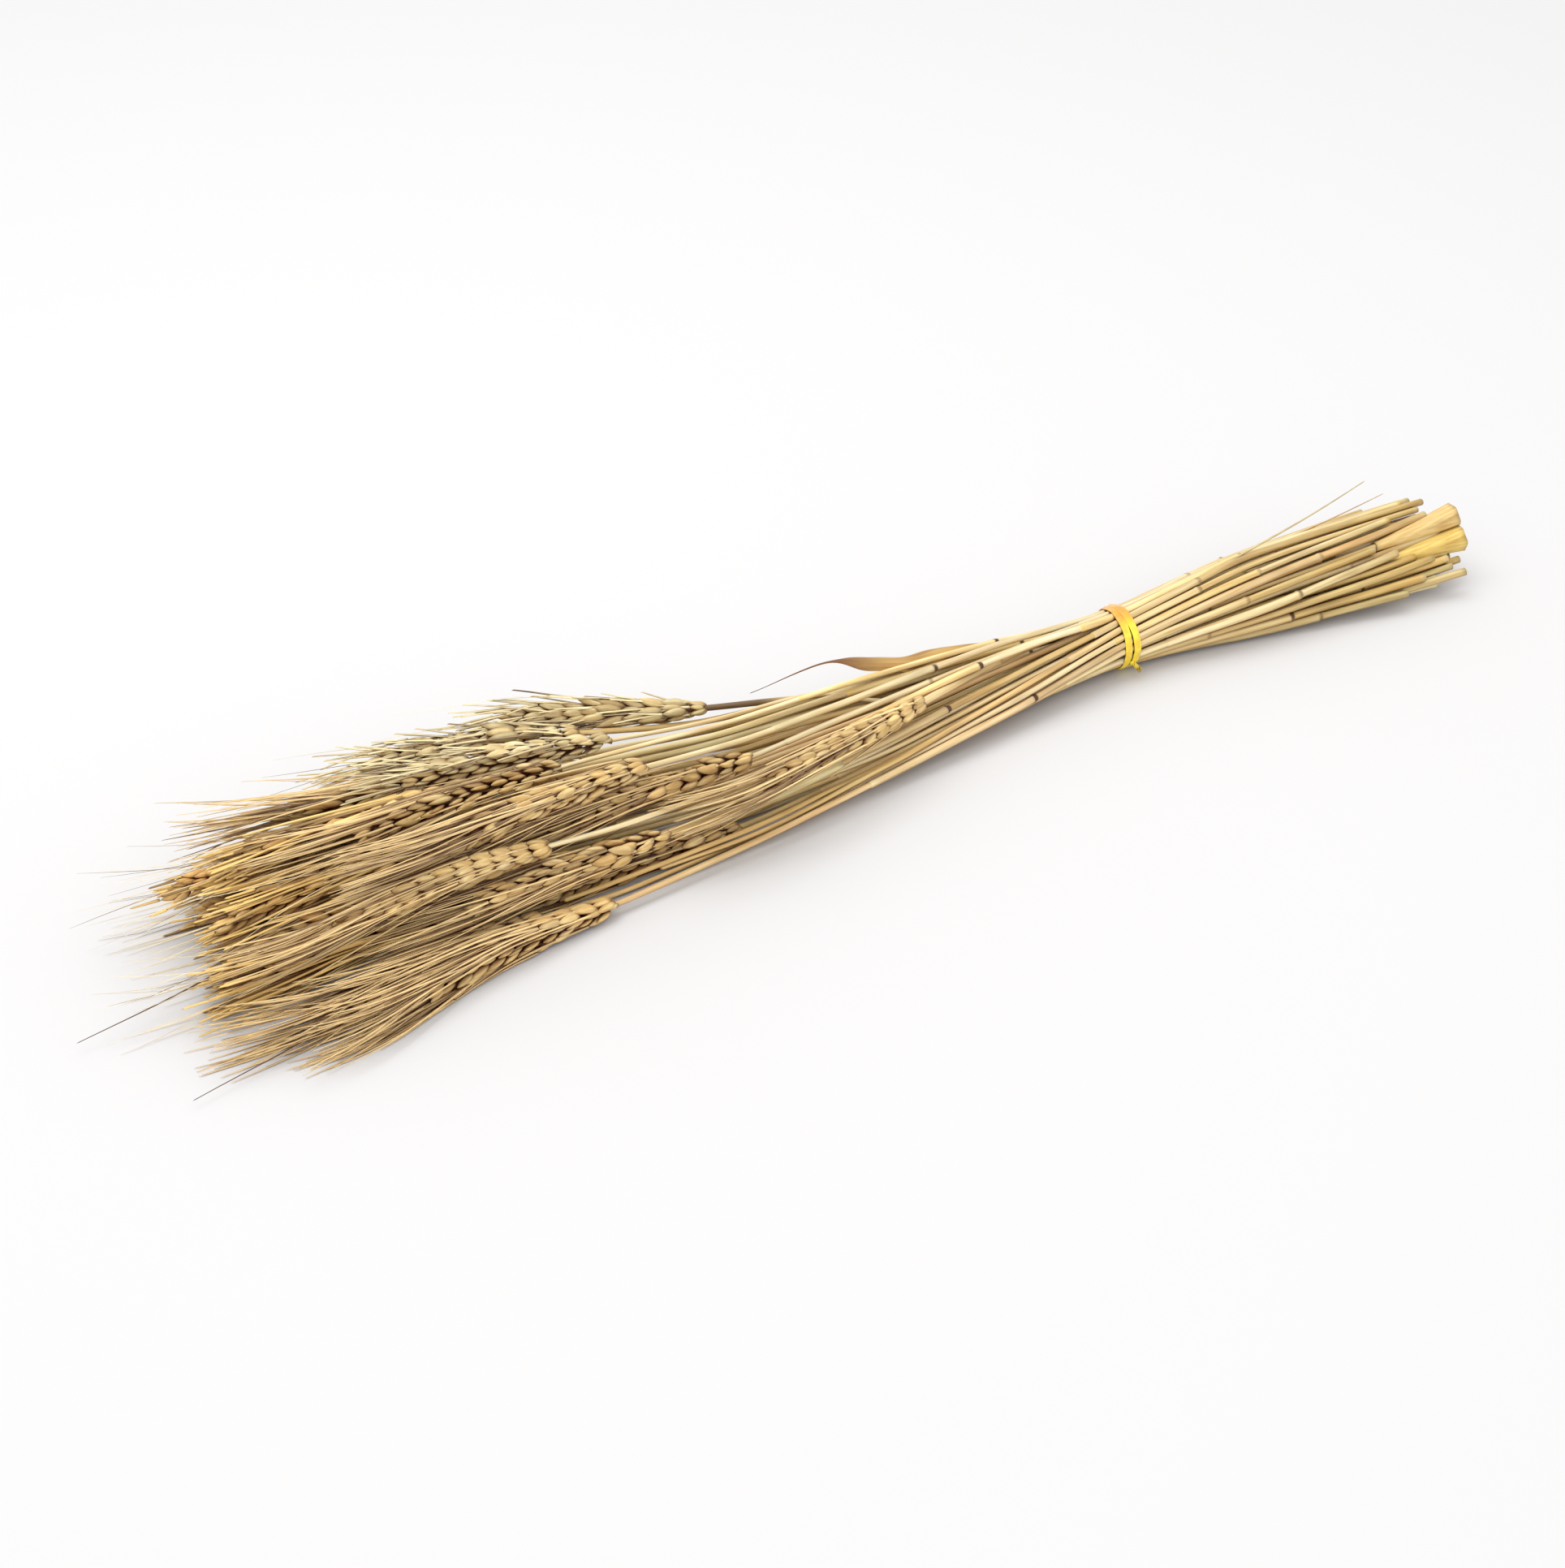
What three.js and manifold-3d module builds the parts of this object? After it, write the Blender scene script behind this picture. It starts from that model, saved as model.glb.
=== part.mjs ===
// A bundle of dried bearded wheat that lies on a table, held by one yellow twist tie.
//
// Millimetres, +Z up. The stalks run along X: cut ends towards +X, ears and awns towards -X.
// Each stalk is one grown piece (straw, ear, awns and any leaf) and is one mesh. So is each loose straw,
// which has lost its ear, and so is the tie.
// Every shape of a stalk is a loft whose rings lie in planes of constant x, so two stalks are clear
// of each other when the circles that hold them are clear of each other in every such plane.

import * as THREE from "three";
import { mergeVertices } from "three/addons/utils/BufferGeometryUtils.js";
import Module from "manifold-3d";

const wasm = await Module();
wasm.setup();

// Driving sizes of the bundle. x is 0 at the tie while the bundle is laid out.
const STATION_STEP = 60; // a stalk may bend once in this length
const FIRST_STATION_X = 180; // past the longest cut end
const STATION_COUNT = 12;
const TIE_RADIUS = 11.5; // the straws are drawn together inside this
const TIE_CENTRE_Z = 12.4;
const CLEARANCE = 0.3; // air between two stalks
const FLOOR_SINK = 0.4; // the lowest stalks are this far below z = 0 and are cut flat there
const FIRST_SEED = 1000; // of the random draws, one seed a stalk

// Driving sizes of one stalk
const STRAW_RADIUS_AT_CUT = 1.5;
const STRAW_RADIUS_AT_EAR = 0.95;
const STRAW_LENGTH_TO_TAPER = 420;
const STRAW_SIDES = 5;
const KNOT_SWELL = 1.3; // a straw's knot is this much thicker than the straw
const KNOT_HALF_LENGTH = 2.6;
const KNOT_PLACES = [
  [24, 110],
  [-110, -40],
]; // a stalk has a knot somewhere in each of these stretches, and a loose straw only in the first
const SHEATH_SWELL = 1.45; // a dry leaf sheath wrapped round the straw
const EAR_LENGTH = 84;
const EAR_RADIUS = 5.3;
const EAR_SHOULDER = EAR_LENGTH / 7; // an ear reaches its full width in this length
const RACHIS = { wide: 1.6, thick: 1.15 }; // half sizes of the core of an ear, a bar of four sides
const SPIKELETS = 11;
const AWN_REACH = 50; // how far the longest awn of an ear runs on past the ear
const AWN_RADIUS = 0.36;
const AWN_TUFT_RADIUS = 2.6; // the least room that the tips of one ear's awns share
const AWN_TUFT_NARROWING = 1.4; // it is that narrow after 1 / 1.4 of their length
const AWN_FAN = 0.2; // loose awns spread by this much of their length, where there is air

// The pile of ears, and the fan of cut ends beyond the tie
const PILE_CENTRE = { y: -8, z: 18 };
const PILE_HALF_WIDTH = 46;
const PILE_HALF_HEIGHT = 20;
const CUT_END_SHIFT = { y: -7, z: 9 }; // the cut ends lean to the front, at x = CUT_END_X
const CUT_END_X = 150;
const AWN_DROOP = 0.5; // awns end at this share of their ear's height
const TIE_TWIST = (-40 * Math.PI) / 180;
const TIE_SPREAD = TIE_RADIUS * 0.8; // what lies at the edge of the pile passes the tie this far out

// Where each ear's middle lies, seen from the tie: x, then y and z, then where the straw is cut
// and how the rows of the ear are turned, in degrees from level. A sheath runs from x to x, awns is how
// much longer than usual the awns are, swing is how far they veer to the front, and tone is the number
// of its colour.
const STALKS = [
  { ear: [-294, -52, 4], cut: 149, turn: 90, awns: 1.3, swing: 26 },
  { ear: [-264, -45, 16], cut: 155, turn: 20, sheath: [-150, -214] },
  { ear: [-311, -41, 33], cut: 146, turn: 144, awns: 1.2 },
  { ear: [-318, -50, 0], cut: 118, turn: 90, awns: 1.15, swing: 22 },
  { ear: [-266, -34, 39], cut: 154, turn: 110 },
  { ear: [-146, -33, 32], cut: 138, turn: 144 },
  { ear: [-222, -28, 34], cut: 148, turn: 10 },
  { ear: [-262, 6, 34], cut: 152, turn: 80 },
  { ear: [-213, 35, 29], cut: 130, turn: 130, tone: 1 },
  { ear: [-264, 39, 29], cut: 112, turn: 100, tone: 1 },
  { ear: [-290, -5, 38], cut: 140, turn: 40 },
  { ear: [-352, 11, 22], cut: 160, turn: 20, awns: 0.75, sheath: [160, 128], tone: 2 },
  { ear: [-345, -16, 26], cut: 144, turn: 95, awns: 0.8, tone: 2 },
  { ear: [-350, -28, 9], cut: 96, turn: 150, awns: 0.8 },
  { ear: [-340, -38, 9], cut: 155, turn: 35, awns: 1.3 },
  { ear: [-330, -5, 34], cut: 149, turn: 75 },
  { ear: [-240, -10, 20], cut: 134, turn: 0 },
  { ear: [-240, 14, 9], cut: 151, turn: 45 },
  { ear: [-248, 33, 0], cut: 125, turn: 90 },
  { ear: [-300, 14, 8], cut: 157, turn: 15 },
  { ear: [-297, -6, 0], cut: 142, turn: 90 },
  { ear: [-276, -25, 8], cut: 153, turn: 65 },
  { ear: [-325, 14, 17], cut: 147, turn: 5 },
  { ear: [-336, -9, 9], cut: 136, turn: 85, awns: 0.9, tone: 2 },
  { ear: [-300, 8, 24], cut: 156, turn: 30 },
  { ear: [-342, 10, 7], cut: 150, turn: 140, awns: 0.85, tone: 2 },
  { ear: [-232, -38, 9], cut: 36, turn: 100 },
  { ear: [-290, 36, 10], cut: 145, turn: 50, tone: 1 },
  { ear: [-318, 28, 0], cut: 154, turn: 90 },
  { ear: [-268, 6, 20], cut: 139, turn: 75 },
];

// Where each loose straw ends among the ears, and where it is cut.
const LOOSE_STRAWS = [
  { end: [-212, -32, 6], cut: 148 },
  { end: [-196, -12, 12], cut: 102 },
  { end: [-224, 4, 14], cut: 152 },
  { end: [-205, 16, 18], cut: 96 },
  { end: [-190, -22, 16], cut: 141 },
  { end: [-232, -20, 4], cut: 128 },
  { end: [-180, 10, 8], cut: 90 },
  { end: [-238, 8, 22], cut: 157 },
  { end: [-218, -4, 24], cut: 144 },
  { end: [-200, 22, 8], cut: 135 },
  { end: [-226, -40, 4], cut: 150 },
  { end: [-186, 2, 26], cut: 120 },
  { end: [-266, -44, 6], cut: 146 },
  { end: [-250, -36, 13], cut: 138 },
  { end: [-236, -30, 20], cut: 152 },
  { end: [-246, -50, 2], cut: 132 },
  { end: [-214, -38, 12], cut: 118 },
  { end: [-258, -28, 26], cut: 149 },
  { end: [-176, -18, 24], cut: 130 },
];

const stationX = (station) => FIRST_STATION_X - station * STATION_STEP;
const lerp = (a, b, t) => a + (b - a) * t;
const clamp01 = (t) => Math.min(1, Math.max(0, t));
const radians = (degrees) => (degrees * Math.PI) / 180;

// The same draws every run: a small seeded generator of numbers from 0 to 1.
function seededRandom(seed) {
  let state = seed >>> 0;
  return () => {
    state = (state + 0x6d2b79f5) >>> 0;
    let t = state;
    t = Math.imul(t ^ (t >>> 15), t | 1);
    t ^= t + Math.imul(t ^ (t >>> 7), t | 61);
    return ((t ^ (t >>> 14)) >>> 0) / 4294967296;
  };
}

// Half width of the bare straw at x: it thins evenly from the cut end to the ear.
function strawRadius(x) {
  const t = clamp01((FIRST_STATION_X - x) / STRAW_LENGTH_TO_TAPER);
  return lerp(STRAW_RADIUS_AT_CUT, STRAW_RADIUS_AT_EAR, t);
}

// Half width of a stalk at x where a knot or a leaf sheath may make it thicker.
function thickRadius(stalk, x) {
  const atKnot = stalk.knots.some((knot) => Math.abs(x - knot) < 2 * KNOT_HALF_LENGTH);
  const inSheath = stalk.sheath && x <= stalk.sheath[0] + 1 && x >= stalk.sheath[1] - 1;
  return strawRadius(x) * Math.max(atKnot ? KNOT_SWELL : 1, inSheath ? SHEATH_SWELL : 1);
}

// Half width of the room that a stalk takes at x: straw, then spindle-shaped ear, then awns.
function roomRadius(stalk, x) {
  if (stalk.isLoose || x >= stalk.earBaseX) return thickRadius(stalk, x);
  if (x >= stalk.earTipX) {
    return lerp(STRAW_RADIUS_AT_EAR, EAR_RADIUS, clamp01((stalk.earBaseX - x) / EAR_SHOULDER));
  }
  const t = (stalk.earTipX - x) / (stalk.earTipX - stalk.endX);
  return lerp(EAR_RADIUS, AWN_TUFT_RADIUS, clamp01(t * AWN_TUFT_NARROWING));
}

// A stalk before it is laid in the bundle: its lengths, the places that it is held towards (its ear or
// its loose end, its cut end, its awns' tips), and a first straight route through the tie.
// The bundle is twisted like a sheaf: what lies in front at the ears passes the tie on top and
// leaves it at the back, so straight straws can cross the narrow tie.
function makeStalk({ ear, end, cut, turn = 0, sheath, awns = 1, swing = 0, tone = 0 }, index) {
  const random = seededRandom(FIRST_SEED + index);
  const [x, y, z] = ear ?? end;
  const earBaseX = ear ? x + EAR_LENGTH / 2 : x;
  const earTipX = ear ? x - EAR_LENGTH / 2 : x;
  const endX = ear ? earTipX - awns * AWN_REACH : x;
  const acrossY = (y - PILE_CENTRE.y) / PILE_HALF_WIDTH;
  const acrossZ = (z - PILE_CENTRE.z) / PILE_HALF_HEIGHT;
  const tieY = (acrossY * Math.cos(TIE_TWIST) - acrossZ * Math.sin(TIE_TWIST)) * TIE_SPREAD;
  const tieZ = (acrossY * Math.sin(TIE_TWIST) + acrossZ * Math.cos(TIE_TWIST)) * TIE_SPREAD;
  const straightY = (at) => lerp(tieY, y, at / x);
  const straightZ = (at) => lerp(TIE_CENTRE_Z + tieZ, z, at / x);
  const stalk = {
    index,
    random,
    turn: radians(turn),
    cutX: cut,
    sheath,
    isLoose: !ear,
    front: clamp01(-acrossY),
    held: [
      { x, y, z },
      {
        x: CUT_END_X,
        y: straightY(CUT_END_X) + CUT_END_SHIFT.y,
        z: Math.max(2, straightZ(CUT_END_X) + CUT_END_SHIFT.z),
      },
    ],
    earBaseX,
    earTipX,
    tone,
    endX,
    y: Float64Array.from({ length: STATION_COUNT }, (_, k) => straightY(stationX(k))),
    z: Float64Array.from({ length: STATION_COUNT }, (_, k) => straightZ(stationX(k))),
  };
  if (ear) stalk.held.push({ x: endX, y: straightY(endX) - swing, z: z * AWN_DROOP });
  const stretches = ear ? KNOT_PLACES : KNOT_PLACES.slice(0, 1);
  stalk.knots = stretches
    .map(([from, to]) => lerp(from, to, random()))
    .filter((knot) => knot < cut - 12 && knot > earBaseX + 30);
  return stalk;
}

// Where a route is at x: it is straight between stations.
function routeAt(stalk, x) {
  const station = Math.min(STATION_COUNT - 1.001, Math.max(0, (FIRST_STATION_X - x) / STATION_STEP));
  const k = Math.floor(station);
  const t = station - k;
  return {
    y: lerp(stalk.y[k], stalk.y[k + 1], t),
    z: lerp(stalk.z[k], stalk.z[k + 1], t),
    k,
    t,
  };
}

// Moves the point of a route at station + t by (dy, dz), shared between the stations beside it.
function nudge(stalk, k, t, dy, dz) {
  const share = (1 - t) ** 2 + t ** 2;
  stalk.y[k] += (dy * (1 - t)) / share;
  stalk.z[k] += (dz * (1 - t)) / share;
  stalk.y[k + 1] += (dy * t) / share;
  stalk.z[k + 1] += (dz * t) / share;
}

// Planes in which the stalks are kept apart: each station and the planes between.
const PLANES_PER_STEP = 8;
const PLANES = Array.from(
  { length: (STATION_COUNT - 1) * PLANES_PER_STEP },
  (_, i) => FIRST_STATION_X - (i * STATION_STEP) / PLANES_PER_STEP,
);

// Whether a stalk, or the air past its ends, is at x.
const END_MARGIN = 4;
const isAt = (stalk, x) => x <= stalk.cutX + END_MARGIN && x >= stalk.endX - END_MARGIN;

// Pushes apart every two stalks that are too near each other in one plane, and returns the worst depth.
function separate(stalks) {
  let worst = 0;
  for (const x of PLANES) {
    const here = stalks
      .filter((stalk) => isAt(stalk, x))
      .map((stalk) => ({ stalk, radius: roomRadius(stalk, x) }));
    for (let i = 0; i < here.length; i++) {
      for (let j = i + 1; j < here.length; j++) {
        const a = routeAt(here[i].stalk, x);
        const b = routeAt(here[j].stalk, x);
        const dy = b.y - a.y;
        const dz = b.z - a.z;
        const apart = Math.hypot(dy, dz) || 1e-6;
        const depth = here[i].radius + here[j].radius + CLEARANCE - apart;
        if (depth <= 0) continue;
        worst = Math.max(worst, depth);
        const push = (depth * 0.5) / apart;
        nudge(here[i].stalk, a.k, a.t, -dy * push, -dz * push);
        nudge(here[j].stalk, b.k, b.t, dy * push, dz * push);
      }
    }
    for (const { stalk, radius } of here) {
      const at = routeAt(stalk, x);
      const low = radius - FLOOR_SINK - at.z;
      if (low > 0) nudge(stalk, at.k, at.t, 0, low);
    }
  }
  return worst;
}

// Keeps every straw inside the tie.
const TIE_PLANES = [-5, 0, 5];
function drawTogether(stalks) {
  for (const x of TIE_PLANES) {
    for (const stalk of stalks) {
      const at = routeAt(stalk, x);
      const dy = at.y;
      const dz = at.z - TIE_CENTRE_Z;
      const out = Math.hypot(dy, dz) + strawRadius(x) - TIE_RADIUS;
      if (out > 0) {
        const pull = out / Math.hypot(dy, dz);
        nudge(stalk, at.k, at.t, -dy * pull, -dz * pull);
      }
    }
  }
}

// Straw is stiff: each station moves towards the middle of its neighbours. Ears, awns and cut ends
// are held towards their places.
function stiffen(stalks, stiffness, hold) {
  for (const stalk of stalks) {
    for (let k = 1; k < STATION_COUNT - 1; k++) {
      stalk.y[k] += stiffness * ((stalk.y[k - 1] + stalk.y[k + 1]) / 2 - stalk.y[k]);
      stalk.z[k] += stiffness * ((stalk.z[k - 1] + stalk.z[k + 1]) / 2 - stalk.z[k]);
    }
    const last = STATION_COUNT - 1;
    for (const [end, next, after] of [
      [0, 1, 2],
      [last, last - 1, last - 2],
    ]) {
      stalk.y[end] += stiffness * (2 * stalk.y[next] - stalk.y[after] - stalk.y[end]);
      stalk.z[end] += stiffness * (2 * stalk.z[next] - stalk.z[after] - stalk.z[end]);
    }
    for (const { x, y, z } of stalk.held) {
      const at = routeAt(stalk, x);
      nudge(stalk, at.k, at.t, hold * (y - at.y), hold * (z - at.z));
    }
  }
}

// The front of the bundle slumps: between the tie and its ear each straw there sinks and bows outwards.
const SAG = 0.08;
const BOW = 0.05;
function slump(stalks) {
  for (const stalk of stalks) {
    for (let k = 1; k < STATION_COUNT - 1; k++) {
      if (stationX(k) >= 0 || stationX(k) < stalk.earBaseX) continue;
      stalk.z[k] -= SAG * stalk.front;
      stalk.y[k] -= BOW * stalk.front;
    }
  }
}

// Seen from the front and above, the straws fan out evenly on both sides of the tie. Each row is x, and
// how far up the fan its lowest and its highest straw lie there.
const FAN_BEARING = radians(54); // which way is up the fan, from +Y towards +Z
const FAN_PULL = 0.12;
const FAN = [
  [120, -7, 30],
  [60, -3.5, 28],
  [-60, -6, 22],
  [-120, -14, 24],
  [-150, -18.5, 24],
];
function fanOut(stalks) {
  const c = Math.cos(FAN_BEARING);
  const s = Math.sin(FAN_BEARING);
  for (const [x, lowest, highest] of FAN) {
    const here = stalks.filter((stalk) => isAt(stalk, x)).map((stalk) => {
      const at = routeAt(stalk, x);
      return { stalk, at, height: at.y * c + at.z * s };
    });
    here.sort((a, b) => a.height - b.height);
    here.forEach(({ stalk, at, height }, order) => {
      const wanted = lerp(lowest, highest, (order + 0.5) / here.length);
      const pull = FAN_PULL * (wanted - height);
      nudge(stalk, at.k, at.t, pull * c, pull * s);
    });
  }
}

const SETTLING_ROUNDS = 700;
const STIFFNESS = { first: 0.3, last: 0.02 };
const HOLD = { first: 0.15, last: 0.02 }; // of ears and ends
const CLEARING_ROUNDS = 700;
const SETTLED = 0.02; // the depth that may be left of the clearance
function settle(stalks) {
  for (let round = 0; round < SETTLING_ROUNDS; round++) {
    const left = 1 - round / SETTLING_ROUNDS;
    stiffen(stalks, STIFFNESS.first * left + STIFFNESS.last, HOLD.first * left + HOLD.last);
    slump(stalks);
    fanOut(stalks);
    drawTogether(stalks);
    separate(stalks);
  }
  let worst = CLEARANCE;
  for (let round = 0; round < CLEARING_ROUNDS && worst > SETTLED; round++) {
    drawTogether(stalks);
    worst = separate(stalks);
  }
}

const stalks = [...STALKS, ...LOOSE_STRAWS].map(makeStalk);
settle(stalks);

// A closed tube through rings, each {x, y, z, wide, thick, turn}, listed from high x to low x. It is a
// unit cylinder whose vertices are carried to the rings. A ring of no size closes the tube to a point.
function loft(rings, sides, firstCorner = 0) {
  const blank = new THREE.CylinderGeometry(1, 1, 1, sides, rings.length - 1, false, firstCorner);
  const at = blank.attributes.position;
  for (let i = 0; i < at.count; i++) {
    const ring = rings[Math.round((0.5 - at.getY(i)) * (rings.length - 1))];
    const across = at.getX(i) * ring.wide;
    const out = at.getZ(i) * ring.thick;
    const c = Math.cos(ring.turn);
    const s = Math.sin(ring.turn);
    at.setXYZ(i, ring.x, ring.y - across * c - out * s, ring.z - across * s + out * c);
  }
  return solidOf(blank);
}

// A three.js geometry as a solid: shared vertices are merged and collapsed triangles dropped.
function solidOf(geometry) {
  const bare = geometry.index ? geometry.toNonIndexed() : geometry;
  const onlyPlaces = new THREE.BufferGeometry();
  onlyPlaces.setAttribute("position", bare.getAttribute("position"));
  const merged = mergeVertices(onlyPlaces, 1e-3);
  const corners = merged.index.array;
  const kept = [];
  for (let i = 0; i < corners.length; i += 3) {
    const [a, b, c] = corners.subarray(i, i + 3);
    if (a !== b && b !== c && c !== a) kept.push(a, b, c);
  }
  const mesh = new wasm.Mesh({
    numProp: 3,
    vertProperties: merged.attributes.position.array,
    triVerts: Uint32Array.from(kept),
  });
  return new wasm.Manifold(mesh);
}

// A solid as three.js geometry with flat faces.
function geometryOf(solid) {
  const mesh = solid.getMesh();
  const geometry = new THREE.BufferGeometry();
  geometry.setAttribute("position", new THREE.BufferAttribute(mesh.vertProperties, 3));
  geometry.setIndex(new THREE.BufferAttribute(mesh.triVerts, 1));
  const flat = geometry.toNonIndexed();
  flat.computeVertexNormals();
  return flat;
}

// A round ring of a straw at x.
function strawRing(stalk, x, radius) {
  const { y, z } = routeAt(stalk, x);
  return { x, y, z, wide: radius, thick: radius, turn: stalk.turn };
}

// The straw: its stations, a swelling at each knot and a step at each end of a leaf sheath.
const SHEATH_LIP = 1.5;
function strawOf(stalk) {
  const marks = [[stalk.cutX, thickRadius(stalk, stalk.cutX)]];
  for (let k = 0; k < STATION_COUNT; k++) {
    const x = stationX(k);
    if (x < stalk.cutX - 4 && x > stalk.earBaseX + 6) marks.push([x, thickRadius(stalk, x)]);
  }
  for (const knot of stalk.knots) {
    marks.push([knot + KNOT_HALF_LENGTH, strawRadius(knot)]);
    marks.push([knot, strawRadius(knot) * KNOT_SWELL]);
    marks.push([knot - KNOT_HALF_LENGTH, strawRadius(knot)]);
  }
  if (stalk.sheath) {
    const [from, to] = stalk.sheath;
    if (from < stalk.cutX) {
      marks.push([from + SHEATH_LIP, strawRadius(from)]);
      marks.push([from, strawRadius(from) * SHEATH_SWELL]);
    }
    marks.push([to, strawRadius(to) * SHEATH_SWELL]);
    marks.push([to - SHEATH_LIP, strawRadius(to)]);
  }
  marks.push([stalk.earBaseX, strawRadius(stalk.earBaseX)]);
  marks.sort((a, b) => b[0] - a[0]);
  return loft(marks.map(([x, radius]) => strawRing(stalk, x, radius)), STRAW_SIDES);
}

// The core of the ear. Its wide sides face the two rows of spikelets, and its ends are points inside
// the straw and inside the last spikelet.
function rachisOf(stalk) {
  const marks = [[stalk.earBaseX + 2, 0], [stalk.earBaseX - 4, 1]];
  for (let k = 0; k < STATION_COUNT; k++) {
    const x = stationX(k);
    if (x < stalk.earBaseX - 8 && x > stalk.earTipX + 20) marks.push([x, 1]);
  }
  marks.push([stalk.earTipX + 16, 1], [stalk.earTipX + 8, 0]);
  const rings = marks.map(([x, size]) => ({
    ...strawRing(stalk, x, 0),
    wide: RACHIS.wide * Math.SQRT2 * size,
    thick: RACHIS.thick * Math.SQRT2 * size,
    turn: stalk.turn - Math.PI / 2,
  }));
  return loft(rings, 4, Math.PI / 4);
}

// One spikelet: a keeled, pointed boat with its root sunk in the rachis. An awned one runs on into a
// bristle that keeps inside the room of its stalk. Each awn has a bearing of its own round the ear.
const SPIKELET_LENGTH = 14;
const SPIKELET_PROFILE = [
  { share: 0, out: 0.2, wide: 0, thick: 0 },
  { share: 0.55, out: 3.1, wide: 3.0, thick: 1.9 },
];
const NECK_OUT = 4.0;
const NECK_LEAN = 28; // the most that a spikelet's tip leans, in degrees
const LAST_SLIM = 0.2; // the spikelet at the tip of the ear stands this much less far out
const AWN_REACHES = { lowest: 0.15, highest: 0.8, spread: 0.2 }; // shares of the stalk's awn length
const AWN_SPREADS = [0.5, 1]; // shares of the room beside the ear
const AWN_TAPER = 0.8;
// lean of each spikelet's awn from the side it grows on, in degrees; none where it has no awn
const AWN_LEANS = [46, -46, -46, 46, null, null, null, null, -22, 22, null];

function spikeletOf(stalk, order) {
  const { random } = stalk;
  const last = order === SPIKELETS;
  const pitch = (EAR_LENGTH - SPIKELET_LENGTH) / SPIKELETS;
  const rootX = stalk.earBaseX - 1 - order * pitch;
  const outward = stalk.turn + (order % 2 ? 0 : Math.PI);
  const slim = last ? LAST_SLIM : 1;
  const placed = (x, distance, angle, wide, thick) => {
    const { y, z } = routeAt(stalk, x);
    return {
      x,
      y: y + distance * Math.cos(angle),
      z: z + distance * Math.sin(angle),
      wide,
      thick,
      turn: outward - Math.PI / 2,
    };
  };
  const rings = SPIKELET_PROFILE.map(({ share, out, wide, thick }) =>
    placed(rootX - share * SPIKELET_LENGTH, out * slim, outward, wide, thick),
  );
  const neckX = rootX - SPIKELET_LENGTH;
  const usualReach = lerp(AWN_REACHES.lowest, AWN_REACHES.highest, order / SPIKELETS);
  const reach = usualReach + AWN_REACHES.spread * random();
  const spread = lerp(...AWN_SPREADS, random());
  if (!last && AWN_LEANS[order] === null) {
    rings.push(placed(neckX, NECK_OUT, outward, 0, 0));
    return loft(rings, 3);
  }
  const lean = last ? 0 : AWN_LEANS[order];
  const neckBearing = outward + radians(Math.min(NECK_LEAN, Math.max(-NECK_LEAN, lean)));
  const bearing = outward + radians(lean);
  rings.push(placed(neckX, NECK_OUT * slim, neckBearing, AWN_RADIUS, AWN_RADIUS));
  const tipX = lerp(stalk.earTipX, stalk.endX + 1, reach);
  const passed = [];
  for (let k = 0; k < STATION_COUNT; k++) {
    if (stationX(k) < neckX - 6 && stationX(k) > tipX + 8) passed.push(stationX(k));
  }
  const stops = [neckX, ...passed, tipX];
  for (let i = 1; i < stops.length; i++) {
    const x = stops[i];
    const before = stops[i - 1];
    const after = stops[Math.min(i + 1, stops.length - 1)];
    const room = Math.min(
      awnRoom(stalk, x),
      ...PLANES.filter((plane) => plane < before && plane > after).map((plane) => awnRoom(stalk, plane)),
    );
    const share = (x > stalk.earTipX ? 1 : spread) * slim;
    const radius = i === stops.length - 1 ? 0 : AWN_RADIUS * AWN_TAPER;
    rings.push(placed(x, (room - AWN_RADIUS) * share, bearing, radius, radius));
  }
  return loft(rings, 3);
}

// Half width of the room for awns at x: what the layout keeps for the stalk, and half of any free air
// beside it, up to the fan that loose awns make.
function awnRoom(stalk, x) {
  const own = roomRadius(stalk, x);
  const here = routeAt(stalk, x);
  let room = own + Math.max(0, stalk.earTipX - x) * AWN_FAN;
  for (const other of stalks) {
    if (other === stalk || !isAt(other, x)) continue;
    const there = routeAt(other, x);
    const air = Math.hypot(there.y - here.y, there.z - here.z) - own - roomRadius(other, x);
    room = Math.min(room, own + air / 2 - CLEARANCE / 2);
  }
  return Math.min(room, here.z - 0.3);
}

// The dry leaf on one stalk of the top layer: a blade that leaves the straw, arches clear of the
// bundle and ends in a thin curl. Each mark is [x, how far to +Y of the straw, how far above it,
// width, turn in degrees].
const LEAF_STALK = 7;
const LEAF_THICKNESS = 0.8;
const LEAF_MARKS = [
  [-56, 0, 0.2, 1.2, 0],
  [-70, 1.2, 2.2, 5, 10],
  [-84, 2.4, 5, 7.6, 14],
  [-99, 3, 7.4, 7, 6],
  [-112, 3.6, 8.4, 4.6, -12],
  [-124, 5, 8.2, 2, -20],
  [-142, 8, 6.4, 1, 0],
  [-158, 9, 5.2, 0, 0],
];
function leafOf(stalk) {
  const rings = LEAF_MARKS.map(([x, side, rise, width, turn]) => {
    const { y, z } = routeAt(stalk, x);
    const thick = width ? LEAF_THICKNESS / 2 : 0;
    return { x, y: y + side, z: z + rise, wide: width / 2, thick, turn: radians(turn) };
  });
  return loft(rings, 4);
}

// Everything below the table is cut off, which leaves the flat spots that the bundle lies on.
const SLAB = new THREE.BoxGeometry(900, 400, 20).translate(-140, 0, -10);
function cutAtFloor(solid) {
  return solid.boundingBox().min[2] < 0 ? solid.subtract(solidOf(SLAB)) : solid;
}

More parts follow.
